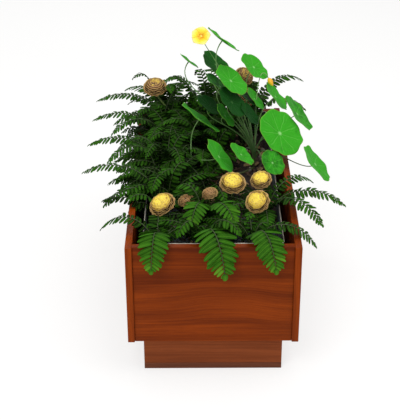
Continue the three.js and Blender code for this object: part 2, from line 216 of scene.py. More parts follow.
class HeadSettings(bpy.types.PropertyGroup):
    layers: count("Layers", 10, "Number of rings of petals in a flower head")
    ruffle: share("Ruffle", 0.045, "Depth of a petal's ruffles, as a share of the head's radius")
    # Painted shade: how far the heads at the back are browned, standing for the shade they sit in.
    fade: share("Fading", 0.55, "How far the heads at the back have browned")
    spent: count("Spent heads", 2, "Number of small brown heads between the two front heads on the left")
    seed: count("Seed", 3, "Seed of the petals' places")
    gold: colour("Gold", (248, 222, 66), "The smooth upper part of a petal")
    tan: colour("Tan", (150, 98, 44), "The edge of a petal")
    # Painted shade: this near-black brown stands for the shade down in the folds between petals.
    fold_shade: colour("Fold", (26, 10, 3), "The folds between petals")


class StageSettings(bpy.types.PropertyGroup):
    lens: FloatProperty(name="Lens", description="Focal length in millimetres", default=95.6, min=1)
    pitch: FloatProperty(
        name="Pitch",
        description="How far the camera looks down",
        default=math.radians(28.23),
        subtype="ANGLE",
    )
    floor: colour("Floor", (244, 243, 241), "The pale floor")
    lamps: share("Lamps", 1.0, "Strength of the studio lamps", 10.0)


# ---- Shapes ----------------------------------------------------------------------------------


def unit(vectors):
    """Each vector divided by its own length."""
    return vectors / np.linalg.norm(vectors, axis=-1, keepdims=True)


def node_points(name):
    """The corner points of a CAD node, each once."""
    mesh = frame["nodes"][name].data
    flat = np.empty(3 * len(mesh.vertices), np.float32)
    mesh.vertices.foreach_get("co", flat)
    return np.unique(np.round(flat.astype(float).reshape(-1, 3), 7), axis=0)


def nodes_named(start):
    """The names of the CAD nodes that begin so, in order."""
    return sorted(name for name in frame["nodes"] if name.startswith(start))


def corners_of(node):
    """The low and the high corner of a CAD node's box."""
    return tuple(np.array(corner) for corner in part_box(node))


def body_name(node):
    """The body that a CAD node rides on."""
    return body_of(frame["nodes"][node])[0]


class Skin:
    """Grids of points, gathered into the mesh of one piece."""

    def __init__(self):
        self.points, self.quads, self.corners, self.tints, self.finishes = [], [], [], [], []
        self.count = 0

    def grids(self, points, round_u=False, round_v=False, tint=0.5, finish=0, corners=None):
        """Adds equal grids [grid, u, v]. A quad joins each four neighbours and faces along u cross v.

        round_u and round_v join the last row to the first. Corner coordinates run from 0 to 1
        along u and v, or are the given ones, one pair for each point of a grid.
        """
        points = np.asarray(points, float)
        n, nu, nv = points.shape[:3]
        i, j = np.meshgrid(np.arange(nu - (not round_u)), np.arange(nv - (not round_v)), indexing="ij")
        i, j = i.ravel(), j.ravel()
        du, dv = np.array([0, 1, 1, 0]), np.array([0, 0, 1, 1])
        ii, jj = i[:, None] + du, j[:, None] + dv
        quads = (ii % nu) * nv + jj % nv
        if corners is None:
            pairs = np.stack([ii / (nu - (not round_u)), jj / (nv - (not round_v))], -1)
        else:
            pairs = np.asarray(corners, float).reshape(nu * nv, 2)[quads]
        start = self.count + np.arange(n) * nu * nv
        self.points.append(points.reshape(-1, 3))
        self.quads.append((quads[None] + start[:, None, None]).reshape(-1, 4))
        self.corners.append(np.tile(pairs.reshape(-1, 2), (n, 1)))
        tint = np.asarray(tint, float)
        tint = tint.reshape(tint.shape + (1,) * (3 - tint.ndim))
        self.tints.append(np.broadcast_to(tint, (n, nu, nv)).ravel())
        self.finishes.append(np.full(n * len(quads), finish))
        self.count += n * nu * nv

    def tube(self, path, radius, across, sides=8, tint=0.5, finish=0):
        """A round rod: a ring square to the path at each point, drawn in to a point at both ends."""
        path, across = np.asarray(path, float), np.asarray(across, float)
        along = unit(np.gradient(path, axis=0))
        side = unit(across - (along @ across)[:, None] * along)
        up = np.cross(along, side)
        radius = np.broadcast_to(radius, len(path))
        angle = np.linspace(0, 2 * np.pi, sides, endpoint=False)[:, None, None]
        ring = path + radius[:, None] * (np.cos(angle) * side + np.sin(angle) * up)
        ends = [np.broadcast_to(path[k], (sides, 1, 3)) for k in (0, -1)]
        self.grids(np.concatenate([ends[0], ring, ends[1]], 1)[None], round_u=True, tint=tint, finish=finish)

    def petal(self, points, u, v, tint):
        """One sheet on a grid [u, v] with u from 0 to 1 and v from -1 to 1, facing along v cross u."""
        corners = np.stack(np.broadcast_arrays(u, (v + 1) / 2), -1).transpose(1, 0, 2)
        self.grids(points[None].transpose(0, 2, 1, 3), tint=tint, corners=corners)

    def stand_in(self, node, finishes, slot, sharp=None, wall=0.0):
        """The piece that takes the place of a CAD node."""
        self.make(node.replace("_", "-"), finishes, body_name(node), slot, [node], sharp, wall)

    def make(self, name, finishes, body, slot, replaces=(), sharp=None, wall=0.0):
        """The piece itself: one mesh with doubled points merged, riding on its body."""
        points, quads = np.concatenate(self.points), np.concatenate(self.quads)
        mesh = bpy.data.meshes.new(name)
        mesh.vertices.add(len(points))
        mesh.vertices.foreach_set("co", points.ravel())
        mesh.loops.add(quads.size)
        mesh.loops.foreach_set("vertex_index", quads.ravel())
        mesh.polygons.add(len(quads))
        mesh.polygons.foreach_set("loop_start", np.arange(0, quads.size, 4))
        mesh.polygons.foreach_set("material_index", np.concatenate(self.finishes))
        mesh.polygons.foreach_set("use_smooth", np.ones(len(quads), bool))
        mesh.update(calc_edges=True)
        mesh.uv_layers.new(name="UVMap").data.foreach_set("uv", np.concatenate(self.corners).ravel())
        mesh.attributes.new("tint", "FLOAT", "POINT").data.foreach_set("value", np.concatenate(self.tints))
        for finish in finishes:
            mesh.materials.append(finish)
        work = bmesh.new()
        work.from_mesh(mesh)
        bmesh.ops.remove_doubles(work, verts=work.verts, dist=2e-6)
        work.to_mesh(mesh)
        work.free()
        mesh.validate()
        if sharp is not None:
            mesh.set_sharp_from_angle(angle=math.radians(sharp))
        piece = bpy.data.objects.new(name, mesh)
        bpy.context.scene.collection.objects.link(piece)
        if wall:
            sheet = piece.modifiers.new("Sheet", "SOLIDIFY")
            sheet.thickness, sheet.offset, sheet.use_even_offset = wall, 0, False
        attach(piece, body)
        if replaces:
            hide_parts(*replaces)
        return piece


def bend(control, t):
    """A cubic curve from its four control points: the Bernstein sum at each t."""
    a, b, c, d = (np.asarray(p, float) for p in control)
    t = np.asarray(t, float)[:, None]
    s = 1 - t
    return a * s**3 + 3 * b * s**2 * t + 3 * c * s * t**2 + d * t**3


def board(skin, low, high, along, edge):
    """A board with eased edges.

    Its section is a rectangle with a quarter circle at each corner, carried along the board. Near
    each end the section is drawn in by edge * (1 - cos a) at edge * (1 - sin a) from the end.
    """
    low, high = np.array(low), np.array(high)
    a, b = (along + 1) % 3, (along + 2) % 3
    middle, half = (low + high) / 2, (high - low) / 2
    turn = np.linspace(0, np.pi / 2, 5)
    angle = (np.arange(4)[:, None] * np.pi / 2 + turn).ravel()
    sign = np.repeat(QUARTERS, len(turn), axis=0)
    straight = half[along] * np.array([0.7, 0.4, 0.1])
    rounded = half[along] - edge * (1 - np.sin(turn[::-1]))
    inset = np.concatenate([[edge], edge * (1 - np.cos(turn[::-1])), 0 * straight])
    reach = np.concatenate([[half[along]], rounded, straight])
    inset, reach = np.concatenate([inset, inset[::-1]]), np.concatenate([-reach, reach[::-1]])
    points = np.zeros((len(angle), len(inset), 3))
    for axis, wave, s in ((a, np.cos(angle), sign[:, 0]), (b, np.sin(angle), sign[:, 1])):
        points[..., axis] = s[:, None] * (half[axis] - edge) + wave[:, None] * (edge - inset)
    points[..., along] = reach
    points[:, 0, [a, b]] = points[:, -1, [a, b]] = 0
    skin.grids((points + middle)[None], round_u=True)


def outline(half_x, half_y, corner, steps=6, straight=26):
    """A rectangle with round corners, anticlockwise from the +X side, as [point, xy]."""
    core = np.array([half_x - corner, half_y - corner])
    between = np.linspace(0, 1, straight + 1)[1:-1, None]

    def arc(k, turn):
        angle = turn + k * np.pi / 2
        return QUARTERS[k % 4] * core + corner * np.stack([np.cos(angle), np.sin(angle)], -1)

    parts = []
    for k in range(4):
        bend_ = arc(k, np.linspace(0, np.pi / 2, steps))
        parts += [bend_, bend_[-1] + between * (arc(k + 1, 0.0) - bend_[-1])]
    return np.concatenate(parts)


def slab(skin, low, high, corner, lift, rings):
    """A filled slab: the outline shrunk towards its middle in rings, raised by lift(x, y) on top."""
    middle, half = (low + high) / 2, (high - low) / 2
    edge = outline(half[0], half[1], corner)
    shares = np.linspace(1, 0, rings)
    top = np.zeros((len(edge), rings, 3))
    top[..., :2] = middle[:2] + shares[:, None] * edge[:, None]
    top[..., 2] = high[2] + lift(top[..., 0], top[..., 1])
    base = np.zeros((len(edge), 3, 3))
    base[..., :2] = middle[:2] + np.array([0, 0.5, 1])[:, None] * edge[:, None]
    base[..., 2] = low[2]
    skin.grids(np.concatenate([base, top], 1)[None], round_u=True)


def balls(skin, places, sizes, turns, boxy, rough, rng, tint, finish=0):
    """Stones and chips: spheres whose cosines and sines are raised to the power boxy, then dented."""
    polar = np.linspace(-np.pi / 2, np.pi / 2, 6)
    around = np.linspace(0, 2 * np.pi, 8, endpoint=False)
    p, a = np.meshgrid(polar, around, indexing="ij")

    def power(v):
        return np.sign(v) * np.abs(v) ** boxy[:, None, None]

    wide = power(np.cos(p)[None])
    across = [wide * power(np.cos(a)[None]), wide * power(np.sin(a)[None])]
    shape = np.stack([*across, power(np.sin(p)[None])], -1)
    dents = 1 + rough * rng.uniform(-1, 1, shape.shape[:3])
    dents[:, [0, -1]] = 1
    shape = shape * dents[..., None] * sizes[:, None, None, :]
    points = np.einsum("nij,nuvj->nuvi", turns, shape) + places[:, None, None, :]
    skin.grids(points.transpose(0, 2, 1, 3), round_u=True, tint=tint, finish=finish)


def turns_of(heading, tilt, roll):
    """Turning matrices: roll about X, then tilt about Y, then heading about Z."""
    ch, sh, ct, st, cr, sr = (f(v) for v in (heading, tilt, roll) for f in (np.cos, np.sin))
    return np.stack(
        [
            np.stack([ch * ct, ch * st * sr - sh * cr, ch * st * cr + sh * sr], -1),
            np.stack([sh * ct, sh * st * sr + ch * cr, sh * st * cr - ch * sr], -1),
            np.stack([-st, ct * sr, ct * cr], -1),
        ],
        -2,
    )


def blades(
    skin, base, along, across, face, length, half, forward, tint,
    steps=7, bow=0.12, crease=0.18, scallop=0.0,
):
    """Leaflets, all at once: an oblong sheet from base, folded along its middle and drooping.

    At share u of its length a leaflet is half * sqrt(1 - |2 u^0.9 - 1|^3) wide to each side; its
    middle line leans forward by 0.14 and droops by bow, times length and u squared; its edges
    stand above the middle line by crease times their distance from it, and scallop waves them.
    """
    u = (1 - np.cos(np.linspace(0, np.pi, steps))) / 2
    v = np.linspace(-1, 1, 5)
    wide = np.sqrt(np.clip(1 - np.abs(2 * u**0.9 - 1) ** 3, 0, 1))
    wide = wide * (1 + scallop * np.cos(2 * np.pi * SCALLOPS * u))
    wide[[0, -1]] = 0.03
    u, w, v = u[None, :, None, None], wide[None, :, None, None], v[None, None, :, None]
    vectors = (base, along, across, face, forward)
    base, along, across, face, forward = (vector[:, None, None, :] for vector in vectors)
    length, half = length[:, None, None, None], half[:, None, None, None]
    points = (
        base
        + along * length * u
        + across * half * w * v
        + forward * 0.14 * length * u**2
        + face * (crease * half * w * np.abs(v) - bow * length * u**2)
    )
    skin.grids(points, tint=tint)


# ---- Finishes --------------------------------------------------------------------------------


class Link:
    """A socket of a finish, so that a sum on it reads like a sum on its value."""

    def __init__(self, finish, socket):
        self.finish, self.socket = finish, socket

    def math(self, operation, *values):
        return self.finish.node("ShaderNodeMath", {"operation": operation}, dict(enumerate(values)))

    def __add__(self, other):
        return self.math("ADD", self, other)

    def __sub__(self, other):
        return self.math("SUBTRACT", self, other)

    def __rsub__(self, other):
        return self.math("SUBTRACT", other, self)

    def __mul__(self, other):
        return self.math("MULTIPLY", self, other)

    def __truediv__(self, other):
        return self.math("DIVIDE", self, other)

    def __rtruediv__(self, other):
        return self.math("DIVIDE", other, self)

    def __pow__(self, other):
        return self.math("POWER", self, other)

    def __abs__(self):
        return self.math("ABSOLUTE", self)

    __radd__, __rmul__ = __add__, __mul__


class Finish:
    """A material or a world, built from expressions on its sockets."""

    def __init__(self, name, kind="materials"):
        self.owner = getattr(bpy.data, kind).new(name)
        self.owner.use_nodes = True
        self.tree = self.owner.node_tree
        self.tree.nodes.clear()

    def node(self, kind, settings=None, values=None, output=0):
        """Adds a node: its settings first, then a value or a link for each named socket."""
        made = self.tree.nodes.new(kind)
        for key, setting in (settings or {}).items():
            setattr(made, key, setting)
        for key, value in (values or {}).items():
            if isinstance(value, Link):
                self.tree.links.new(value.socket, made.inputs[key])
            else:
                made.inputs[key].default_value = value
        return Link(self, made.outputs[output]) if made.outputs else made

    def mm(self):
        """Object coordinates in millimetres, as three numbers."""
        at = self.node("ShaderNodeTexCoord", output="Object")
        scaled = self.node("ShaderNodeVectorMath", {"operation": "SCALE"}, {0: at, "Scale": 1000.0})
        return self.split(scaled)

    def split(self, vector):
        node = self.node("ShaderNodeSeparateXYZ", values={0: vector})
        return [Link(self, s) for s in node.socket.node.outputs]

    def spot(self, x, y, z=0.0):
        return self.node("ShaderNodeCombineXYZ", values={0: x, 1: y, 2: z})

    def noise(self, vector, scale=1.0, detail=2.0, roughness=0.5):
        values = {"Vector": vector, "Scale": scale, "Detail": detail, "Roughness": roughness}
        return self.node("ShaderNodeTexNoise", values=values)

    def cells(self, vector, scale, feature="DISTANCE_TO_EDGE", output="Distance"):
        values = {"Vector": vector, "Scale": scale}
        return self.node("ShaderNodeTexVoronoi", {"feature": feature}, values, output)

    def patches(self, vector, scale):
        """Three random numbers for each cell."""
        return self.split(self.cells(vector, scale, "F1", "Color"))

    def zigzag(self, value):
        """0 at whole numbers and 0.5 halfway between them, in straight lines."""
        return self.node("ShaderNodeMath", {"operation": "PINGPONG"}, {0: value, 1: 0.5})

    def step(self, value, low, high):
        """0 up to low and 1 from high on, with a smooth rise between them."""
        values = {"Value": value, "From Min": low, "From Max": high}
        return self.node("ShaderNodeMapRange", {"interpolation_type": "SMOOTHSTEP"}, values)

    def blend(self, factor, a, b):
        """Colour a where the factor is 0 and colour b where it is 1."""
        a, b = (v if isinstance(v, Link) else (*v, 1.0) for v in (a, b))
        return self.node("ShaderNodeMix", {"data_type": "RGBA"}, {0: factor, 6: a, 7: b}, output=2)

    def tint(self):
        return self.node("ShaderNodeAttribute", {"attribute_name": "tint"}, output="Fac")

    def corners(self):
        return self.split(self.node("ShaderNodeUVMap", {"uv_map": "UVMap"}))[:2]

    def shade(self, colour_, roughness, height=None, relief=1.0, **constants):
        """Ends the finish: a Principled shader, with height as a bump of relief millimetres."""
        values = {"Base Color": colour_, "Roughness": roughness}
        if height is not None:
            bump = {"Height": height, "Distance": relief * MM, "Strength": 1.0}
            values["Normal"] = self.node("ShaderNodeBump", values=bump)
        for key, value in constants.items():
            values[key.replace("_", " ").title().replace("Ior", "IOR")] = value
        shader = self.node("ShaderNodeBsdfPrincipled", values=values)
        self.node("ShaderNodeOutputMaterial", values={"Surface": shader})
        return self.owner


def timber(name, along, pale, deep, dark, crest=0.0, shift=0.0, polish=0.42, capped=False):
    """Oiled hardwood. The figure is the height across the board, warped by a slow noise, and an arch
    of the given crest in mm where asked for; stretched noises along it give bands, fine lines and pores.

    capped turns the grain upright on faces that look along the board, as on a lipped edge.
    """
    f = Finish(name)
    x, y, z = f.mm()
    axes = {"x": (x, z, y), "y": (y, z, x), "z": (z, x, y), "flat": (y, x, z)}
    run, rise, deep_in = axes[along]
    if capped:
        facing = f.split(f.node("ShaderNodeNewGeometry", output="Normal"))[1]
        end = f.step(abs(facing), 0.6, 0.8)
        run, rise = run * (1 - end) + z * end, rise * (1 - end) + x * end
    slow = f.noise(f.spot(run * 0.0036 + shift, rise * 0.005, deep_in * 0.01), detail=1.0) - 0.5
    figure = rise + slow * (9 if crest else 30) + deep_in * 0.35
    if crest:
        reach = (run - ARCH_MIDDLE) / ARCH_REACH
        arch = 1 / (1 + reach * reach * reach * reach)
        figure = figure - arch * f.step(abs(rise - ARCH_HEIGHT), 90.0, 12.0) * crest
    bands = f.noise(f.spot(run * 0.0014 + shift, figure * 0.02, 3.1), detail=2.0, roughness=0.5)
    lines = f.noise(f.spot(run * 0.004, figure * 0.24 + shift, 7.7), detail=6.0, roughness=0.8)
    hairs = f.noise(f.spot(run * 0.03, figure * 1.9, deep_in * 0.9), detail=2.0)
    pores = f.step(f.noise(f.spot(run * 0.09, figure * 2.6, deep_in * 2.6 + shift)), 0.6, 0.72)
    body = f.blend(f.step(bands, 0.34, 0.6) * 0.7 + f.step(lines, 0.34, 0.62) * 0.3, deep, pale)
    streak = f.step(lines, 0.56, 0.34) * 0.5
    body = f.blend(streak, body, deep)
    body = f.blend(f.step(hairs, 0.56, 0.74) * 0.35 + pores * 0.3, body, dark)
    if crest:
        sway = (f.noise(f.spot(run * 0.012, 0.0), detail=1.0) - 0.5) * 10
        heart = f.step(abs(figure - HEART_HEIGHT - sway), 13.0, 1.5)
        body = f.blend(heart * f.step(lines, 0.2, 0.6) * 0.85, body, dark)
    rub = f.noise(f.spot(x * 0.02, y * 0.02, z * 0.02), detail=3.0)
    rough = polish + (rub - 0.5) * 0.22 + pores * 0.2
    height = hairs * 0.3 + lines * 0.3 - pores * 0.5
    return f.shade(body, rough, height, 0.16, specular_ior_level=0.06)


def raw_timber(name, along, look):
    return timber(name, along, look.raw_pale, look.raw_deep, look.raw_deep, shift=9.0, polish=0.75)


def zinc_finish(look):
    """Zinc sheet: crystal patches of slightly different roughness, dulled below the rim by stains,
    and painted pale along the rim as a highlight on its bead.
    """
    f = Finish("liner zinc")
    x, y, z = f.mm()
    at = f.spot(x, y, z)
    grain = f.patches(at, 0.09)[0]
    stain = f.noise(f.spot(x * 0.02, y * 0.02, z * 0.006), detail=4.0, roughness=0.65)
    below = f.step(z, BOX_TOP / MM - 2.6, BOX_TOP / MM - 6)
    body = f.blend(grain * 0.25, look.zinc, look.stain)
    body = f.blend(below * f.step(stain, 0.25, 0.62), body, look.stain)
    # Painted highlight: the bead along the rim is painted pale.
    body = f.blend((1 - below) * (0.6 + stain * 0.4), body, look.bead)
    rough = 0.38 + grain * 0.14 + stain * below * 0.3
    return f.shade(body, rough, stain + grain * 0.2, 0.15, metallic=0.75 - below * 0.25)


def steel_finish():
    """Plated screw: bright steel with fine turned rings."""
    f = Finish("screw steel")
    x, y, z = f.mm()
    ring = f.noise(f.spot(x * 0.4, y * 0.4, z * 3.0), detail=2.0)
    body = f.blend(ring, tone(150, 148, 140), tone(204, 202, 196))
    return f.shade(body, 0.25 + ring * 0.2, ring, 0.05, metallic=1.0)


def gravel_finish():
    """Washed gravel: rounded cells of warm and cold greys with dark joints."""
    f = Finish("gravel")
    x, y, z = f.mm()
    at = f.spot(x, y, z)
    joint = f.cells(at, 0.13)
    stone = f.patches(at, 0.13)
    body = f.blend(stone[0], tone(92, 86, 78), tone(168, 160, 146))
    body = f.blend(stone[1] * 0.4, body, tone(120, 96, 72))
    body = f.blend(f.step(joint, 0.12, 0.02), body, tone(36, 33, 30))
    return f.shade(body, 0.8, f.step(joint, 0.0, 0.25), 2.5)


def fleece_finish():
    """Felted fleece: pale fibres crossing in every direction, dirty towards the soil."""
    f = Finish("filter fleece")
    x, y, z = f.mm()
    lengthwise = f.noise(f.spot(x * 0.9, y * 0.25, z), detail=4.0)
    fibre = lengthwise * f.noise(f.spot(x * 0.25, y * 0.9, z), detail=4.0)
    dirt = f.noise(f.spot(x * 0.012, y * 0.012, z), detail=3.0)
    body = f.blend(f.step(fibre, 0.15, 0.35), tone(178, 176, 166), tone(222, 220, 210))
    body = f.blend(f.step(dirt, 0.45, 0.75) * 0.6, body, tone(112, 96, 80))
    return f.shade(body, 0.95, fibre, 0.6)


def soil_finish(look):
    """Potting soil: dark crumbs with pale flecks, greyer at the front where slate dust lies."""
    f = Finish("potting soil")
    x, y, z = f.mm()
    at = f.spot(x, y, z)
    lumps = f.noise(at, 0.06, 5.0, 0.7)
    crumbs = f.noise(at, 0.35, 4.0, 0.7)
    body = f.blend(f.step(crumbs, 0.4, 0.75), look.earth, look.crumb)
    fleck = f.step(f.cells(at, 0.3, "F1"), 0.16, 0.05) * f.step(lumps, 0.5, 0.6)
    body = f.blend(fleck, body, tone(150, 128, 100))
    dust = f.step(y, -150.0, -330.0) * f.step(lumps, 0.3, 0.6)
    body = f.blend(dust * 0.7, body, look.slate)
    return f.shade(body, 0.94, lumps + crumbs * 0.5, 2.2)


def chip_finish(name, dark, light, grain):
    """Stones, bark and scraps: each has its own tint, with a mottled face."""
    f = Finish(name)
    x, y, z = f.mm()
    mottle = f.noise(f.spot(x, y, z), grain, 4.0, 0.65)
    body = f.blend(f.tint(), dark, light)
    body = f.blend(f.step(mottle, 0.45, 0.7) * 0.45, body, tone(30, 24, 20))
    return f.shade(body, 0.82 - mottle * 0.2, mottle, 0.7)


def fern_finish(look):
    """Fern leaflet: darker when old and as painted shade deep in the plant, yellow-green when young,
    with painted shade at its foot and edges, and a pale midrib and side veins.
    """
    f = Finish("fern leaflet")
    u, v = f.corners()
    x, y, z = f.mm()
    tint = f.tint()
    middle = f.step(abs(v - 0.5), 0.09, 0.02)
    side = f.zigzag(u * 9 + abs(v - 0.5) * 2.4)
    patch = f.noise(f.spot(x, y, z), 0.05, 3.0, 0.6)
    # Painted shade: the tint is low on old leaflets and on fronds deep in the plants, so this also darkens
    # those fronds as if in shade.
    body = f.blend(f.step(tint + (patch - 0.5) * 0.5, 0.0, 0.62), look.shade, look.green)
    body = f.blend(f.step(tint + (u - 0.5) * 0.16, 0.6, 1.0), body, look.tip)
    # Painted shade: darker at the foot of each leaflet by the midrib and along its edges, where the
    # neighbours shade it.
    body = f.blend(f.step(u, 0.4, 0.0) * 0.6 + f.step(abs(v - 0.5), 0.34, 0.5) * 0.35, body, look.shade)
    body = f.blend(middle * 0.25 + f.step(side, 0.12, 0.0) * 0.12, body, look.tip)
    return f.shade(body, 0.5 + patch * 0.2, middle * -0.8 + side * 0.5, 0.35, specular_ior_level=0.04)


def rib_finish(look):
    """Fern midrib: green-brown with a darker scaly foot."""
    f = Finish("fern midrib")
    x, y, z = f.mm()
    scale = f.noise(f.spot(x, y, z), 0.5, 3.0)
    foot = f.step(z, BOX_TOP / MM - 8, BOX_TOP / MM - 46)
    body = f.blend(foot * 0.8 + f.step(scale, 0.5, 0.8) * 0.3, look.rib, tone(50, 34, 16))
    return f.shade(body, 0.6, scale, 0.3)


def leaf_finish(look):
    """Shield leaf: main veins run out from a pale spot in the middle and fork near the edge, over
    a fine net of cells. The angle and distance come from the leaf's own flat coordinates."""
    f = Finish("nasturtium leaf")
    u, v = f.corners()
    u, v = u * 2 - 1, v * 2 - 1
    away = (u * u + v * v) ** 0.5
    turn = f.node("ShaderNodeMath", {"operation": "ARCTAN2"}, {0: v, 1: u}) / (2 * math.pi)
    sway = (f.noise(f.spot(u, v), 2.2, 2.0) - 0.5) * 0.05

    def rays(number, width, start):
        gap = f.zigzag((turn + sway) * number + start) * away * (2 * math.pi / number)
        return f.step(gap, width * 1.7, width * 0.4)

    main = rays(look.veins, 0.016, 0.0) * f.step(away, 1.02, 0.75)
    forks = rays(look.veins * 2, 0.011, 0.5) * f.step(away, 0.42, 0.6)
    net = f.step(f.cells(f.spot(u, v, f.tint() * 9), 9.0), 0.05, 0.0)
    spot = f.step(away, 0.12, 0.03)
    cloud = f.noise(f.spot(u, v, f.tint() * 7), 2.4, 4.0, 0.6)
    # Painted shade: a low tint paints a leaf in the dark colour, and below 0.16 in a near-black green, for
    # leaves that hang in shade; the cloud gives real mottling.
    body = f.blend(f.step(cloud * 0.7 + f.tint() * 0.6, 0.42, 0.78), look.shade, look.leaf)
    body = f.blend(f.step(f.tint(), 0.16, 0.0) * 0.6, body, tone(8, 40, 12))
    veins = main * 0.22 + forks * 0.08 + net * 0.05
    lit = f.step(f.tint(), -0.1, 0.5)
    body = f.blend(veins * lit, body, look.vein)
    body = f.blend(spot * lit * 0.7, body, tone(150, 210, 130))
    body = f.blend(f.step(away, 0.955, 1.0) * lit * 0.35, body, tone(150, 190, 70))
    rough = 0.5 + cloud * 0.12 - veins * 0.06
    height = cloud * 0.5 - main * 0.6 - forks * 0.35 - net * 0.2
    return f.shade(body, rough, height, 0.5, specular_ior_level=0.08)


def stalk_finish(look):
    """Leaf stalk: watery green, darker green lower down as painted shade under the leaves, redder lowest
    down, with fine ribs along it.
    """
    f = Finish("nasturtium stalk")
    x, y, z = f.mm()
    cloud = f.noise(f.spot(x, y, z), 0.04, 3.0)
    body = f.blend(f.step(cloud, 0.35, 0.7), look.stalk, tone(84, 132, 62))
    # Painted shade: darker green lower down, under the leaves.
    body = f.blend(f.step(z, BOX_TOP / MM + 110, BOX_TOP / MM + 10) * 0.6, body, tone(30, 62, 24))
    body = f.blend(f.step(z, BOX_TOP / MM + 10, BOX_TOP / MM - 50) * 0.5, body, tone(84, 58, 40))
    rib = f.zigzag(f.corners()[0] * 7)
    return f.shade(body, 0.5 + cloud * 0.15, rib, 0.25)


def petal_finish(look):
    """Yellow petal: warmer at the throat, with dark honey guides along it."""
    f = Finish("nasturtium petal")
    u, v = f.corners()
    guide = f.zigzag(v * 7)
    lines = f.step(guide, 0.12, 0.02) * f.step(u, 0.6, 0.25)
    cloud = f.noise(f.spot(u, v, f.tint() * 5), 4.0, 3.0)
    body = f.blend(f.step(u, 0.55, 0.1) * 0.7, look.petal, tone(226, 140, 16))
    body = f.blend(f.step(u + (cloud - 0.5) * 0.3, 0.5, 0.95) * 0.7, body, tone(252, 240, 150))
    body = f.blend(lines * 0.8, body, tone(140, 44, 12))
    return f.shade(body, 0.5 + cloud * 0.1, cloud + guide * 0.4, 0.4)


def double_finish(look):
    """Double petal: gold where it is smooth and on the inner, upper petals, painted as lit from above;
    tan along its lip and on the outer, lower petals, painted as in shade; a painted highlight on the
    very edge of the lip; and painted shade in near-black brown down in the folds.
    """
    f = Finish("double petal")
    u, v = f.corners()
    cloud = f.noise(f.spot(u, v, f.tint() * 11), 3.0, 4.0, 0.6)
    inner = f.step(f.tint(), 0.3, 0.9)
    # Painted shade: this mask paints the lower, hidden part of each petal near-black, as the shade down
    # between the petals.
    fold_shade = f.step(u + (cloud - 0.5) * 0.16, 0.96 - inner * 0.2, 0.86 - inner * 0.2)
    groove = f.zigzag(v * 6)
    # Painted light: a high tint, on the inner, upper petals, paints them gold as if lit from above; the
    # outer, lower petals stay tan as if in shade.
    body = f.blend(f.step(cloud * 0.9 + f.tint() * 0.7, 0.6, 1.1), look.tan, look.gold)
    body = f.blend(f.step(groove, 0.2, 0.05) * 0.25 + f.step(cloud, 0.44, 0.34) * 0.5, body, look.tan)
    # Painted highlight: the very edge of each lip is painted pale.
    body = f.blend(f.step(u, 0.94, 1.0) * 0.5, body, tone(226, 200, 130))
    body = f.blend(fold_shade * 0.95, body, look.fold_shade)
    return f.shade(body, 0.55 + cloud * 0.15, groove + cloud * 0.4, 0.6)


def calyx_finish():
    """Green sepals and the stalk under a double flower."""
    f = Finish("flower stalk")
    x, y, z = f.mm()
    cloud = f.noise(f.spot(x, y, z), 0.12, 3.0)
    body = f.blend(cloud, tone(58, 88, 34), tone(112, 132, 56))
    return f.shade(body, 0.6, cloud, 0.4)


# ---- Reading the plants from their CAD solids -------------------------------------------------


def crown_of(points):
    """The middle of a fern's foot, without the frond tips that end at the same height."""
    foot = points[np.abs(points[:, 2] - CROWN_FOOT) < 0.05 * MM]
    near = np.linalg.norm(foot - np.median(foot, axis=0), axis=1) < CROWN_REACH
    return foot[near].mean(axis=0)


def ridge_middles(points, crown):
    """The middles of a fern's ridge pairs, with their level offsets from the crown.

    At each even step a CAD blade has an upper and a lower ridge point, one thickness apart in the
    upright plane through the crown.
    """
    gap = points[None] - points[:, None]
    pairs = np.abs(np.linalg.norm(gap, axis=-1) - FROND_THICKNESS) < 0.01 * MM
    first, second = np.nonzero(np.triu(pairs))
    middle = (points[first] + points[second]) / 2
    ridge = gap[first, second]
    away = middle[:, :2] - crown[:2]
    reach = np.linalg.norm(away, axis=1)
    sideways = np.abs(away[:, 0] * ridge[:, 1] - away[:, 1] * ridge[:, 0]) / np.maximum(reach, 1e-6)
    keep = (sideways < 0.02 * MM) & (reach > 6 * MM)
    return middle[keep], away[keep]


def blade_half_width(points, run, t, heading):
    """The greatest half width of a CAD blade, from the points level with its ridge at each step.

    At t the blade is sin(pi min(1, 0.9 t^0.75)) of the way from its stalk's width to its own.
    """
    side = np.array([heading[1], -heading[0]])
    widths = []
    for centre, swell in zip(run, np.sin(np.pi * np.minimum(1, t**0.75 * 0.9))):
        off = points - centre
        level = (np.abs(off[:, 2]) < 0.03 * MM) & (np.abs(off[:, :2] @ heading) < 0.03 * MM)
        if level.sum() >= 2 and swell > 0.5:
            outer = np.abs(off[level][:, :2] @ side).max()
            widths.append(STIPE_HALF_WIDTH + (outer - STIPE_HALF_WIDTH) / swell)
    return float(np.median(widths))


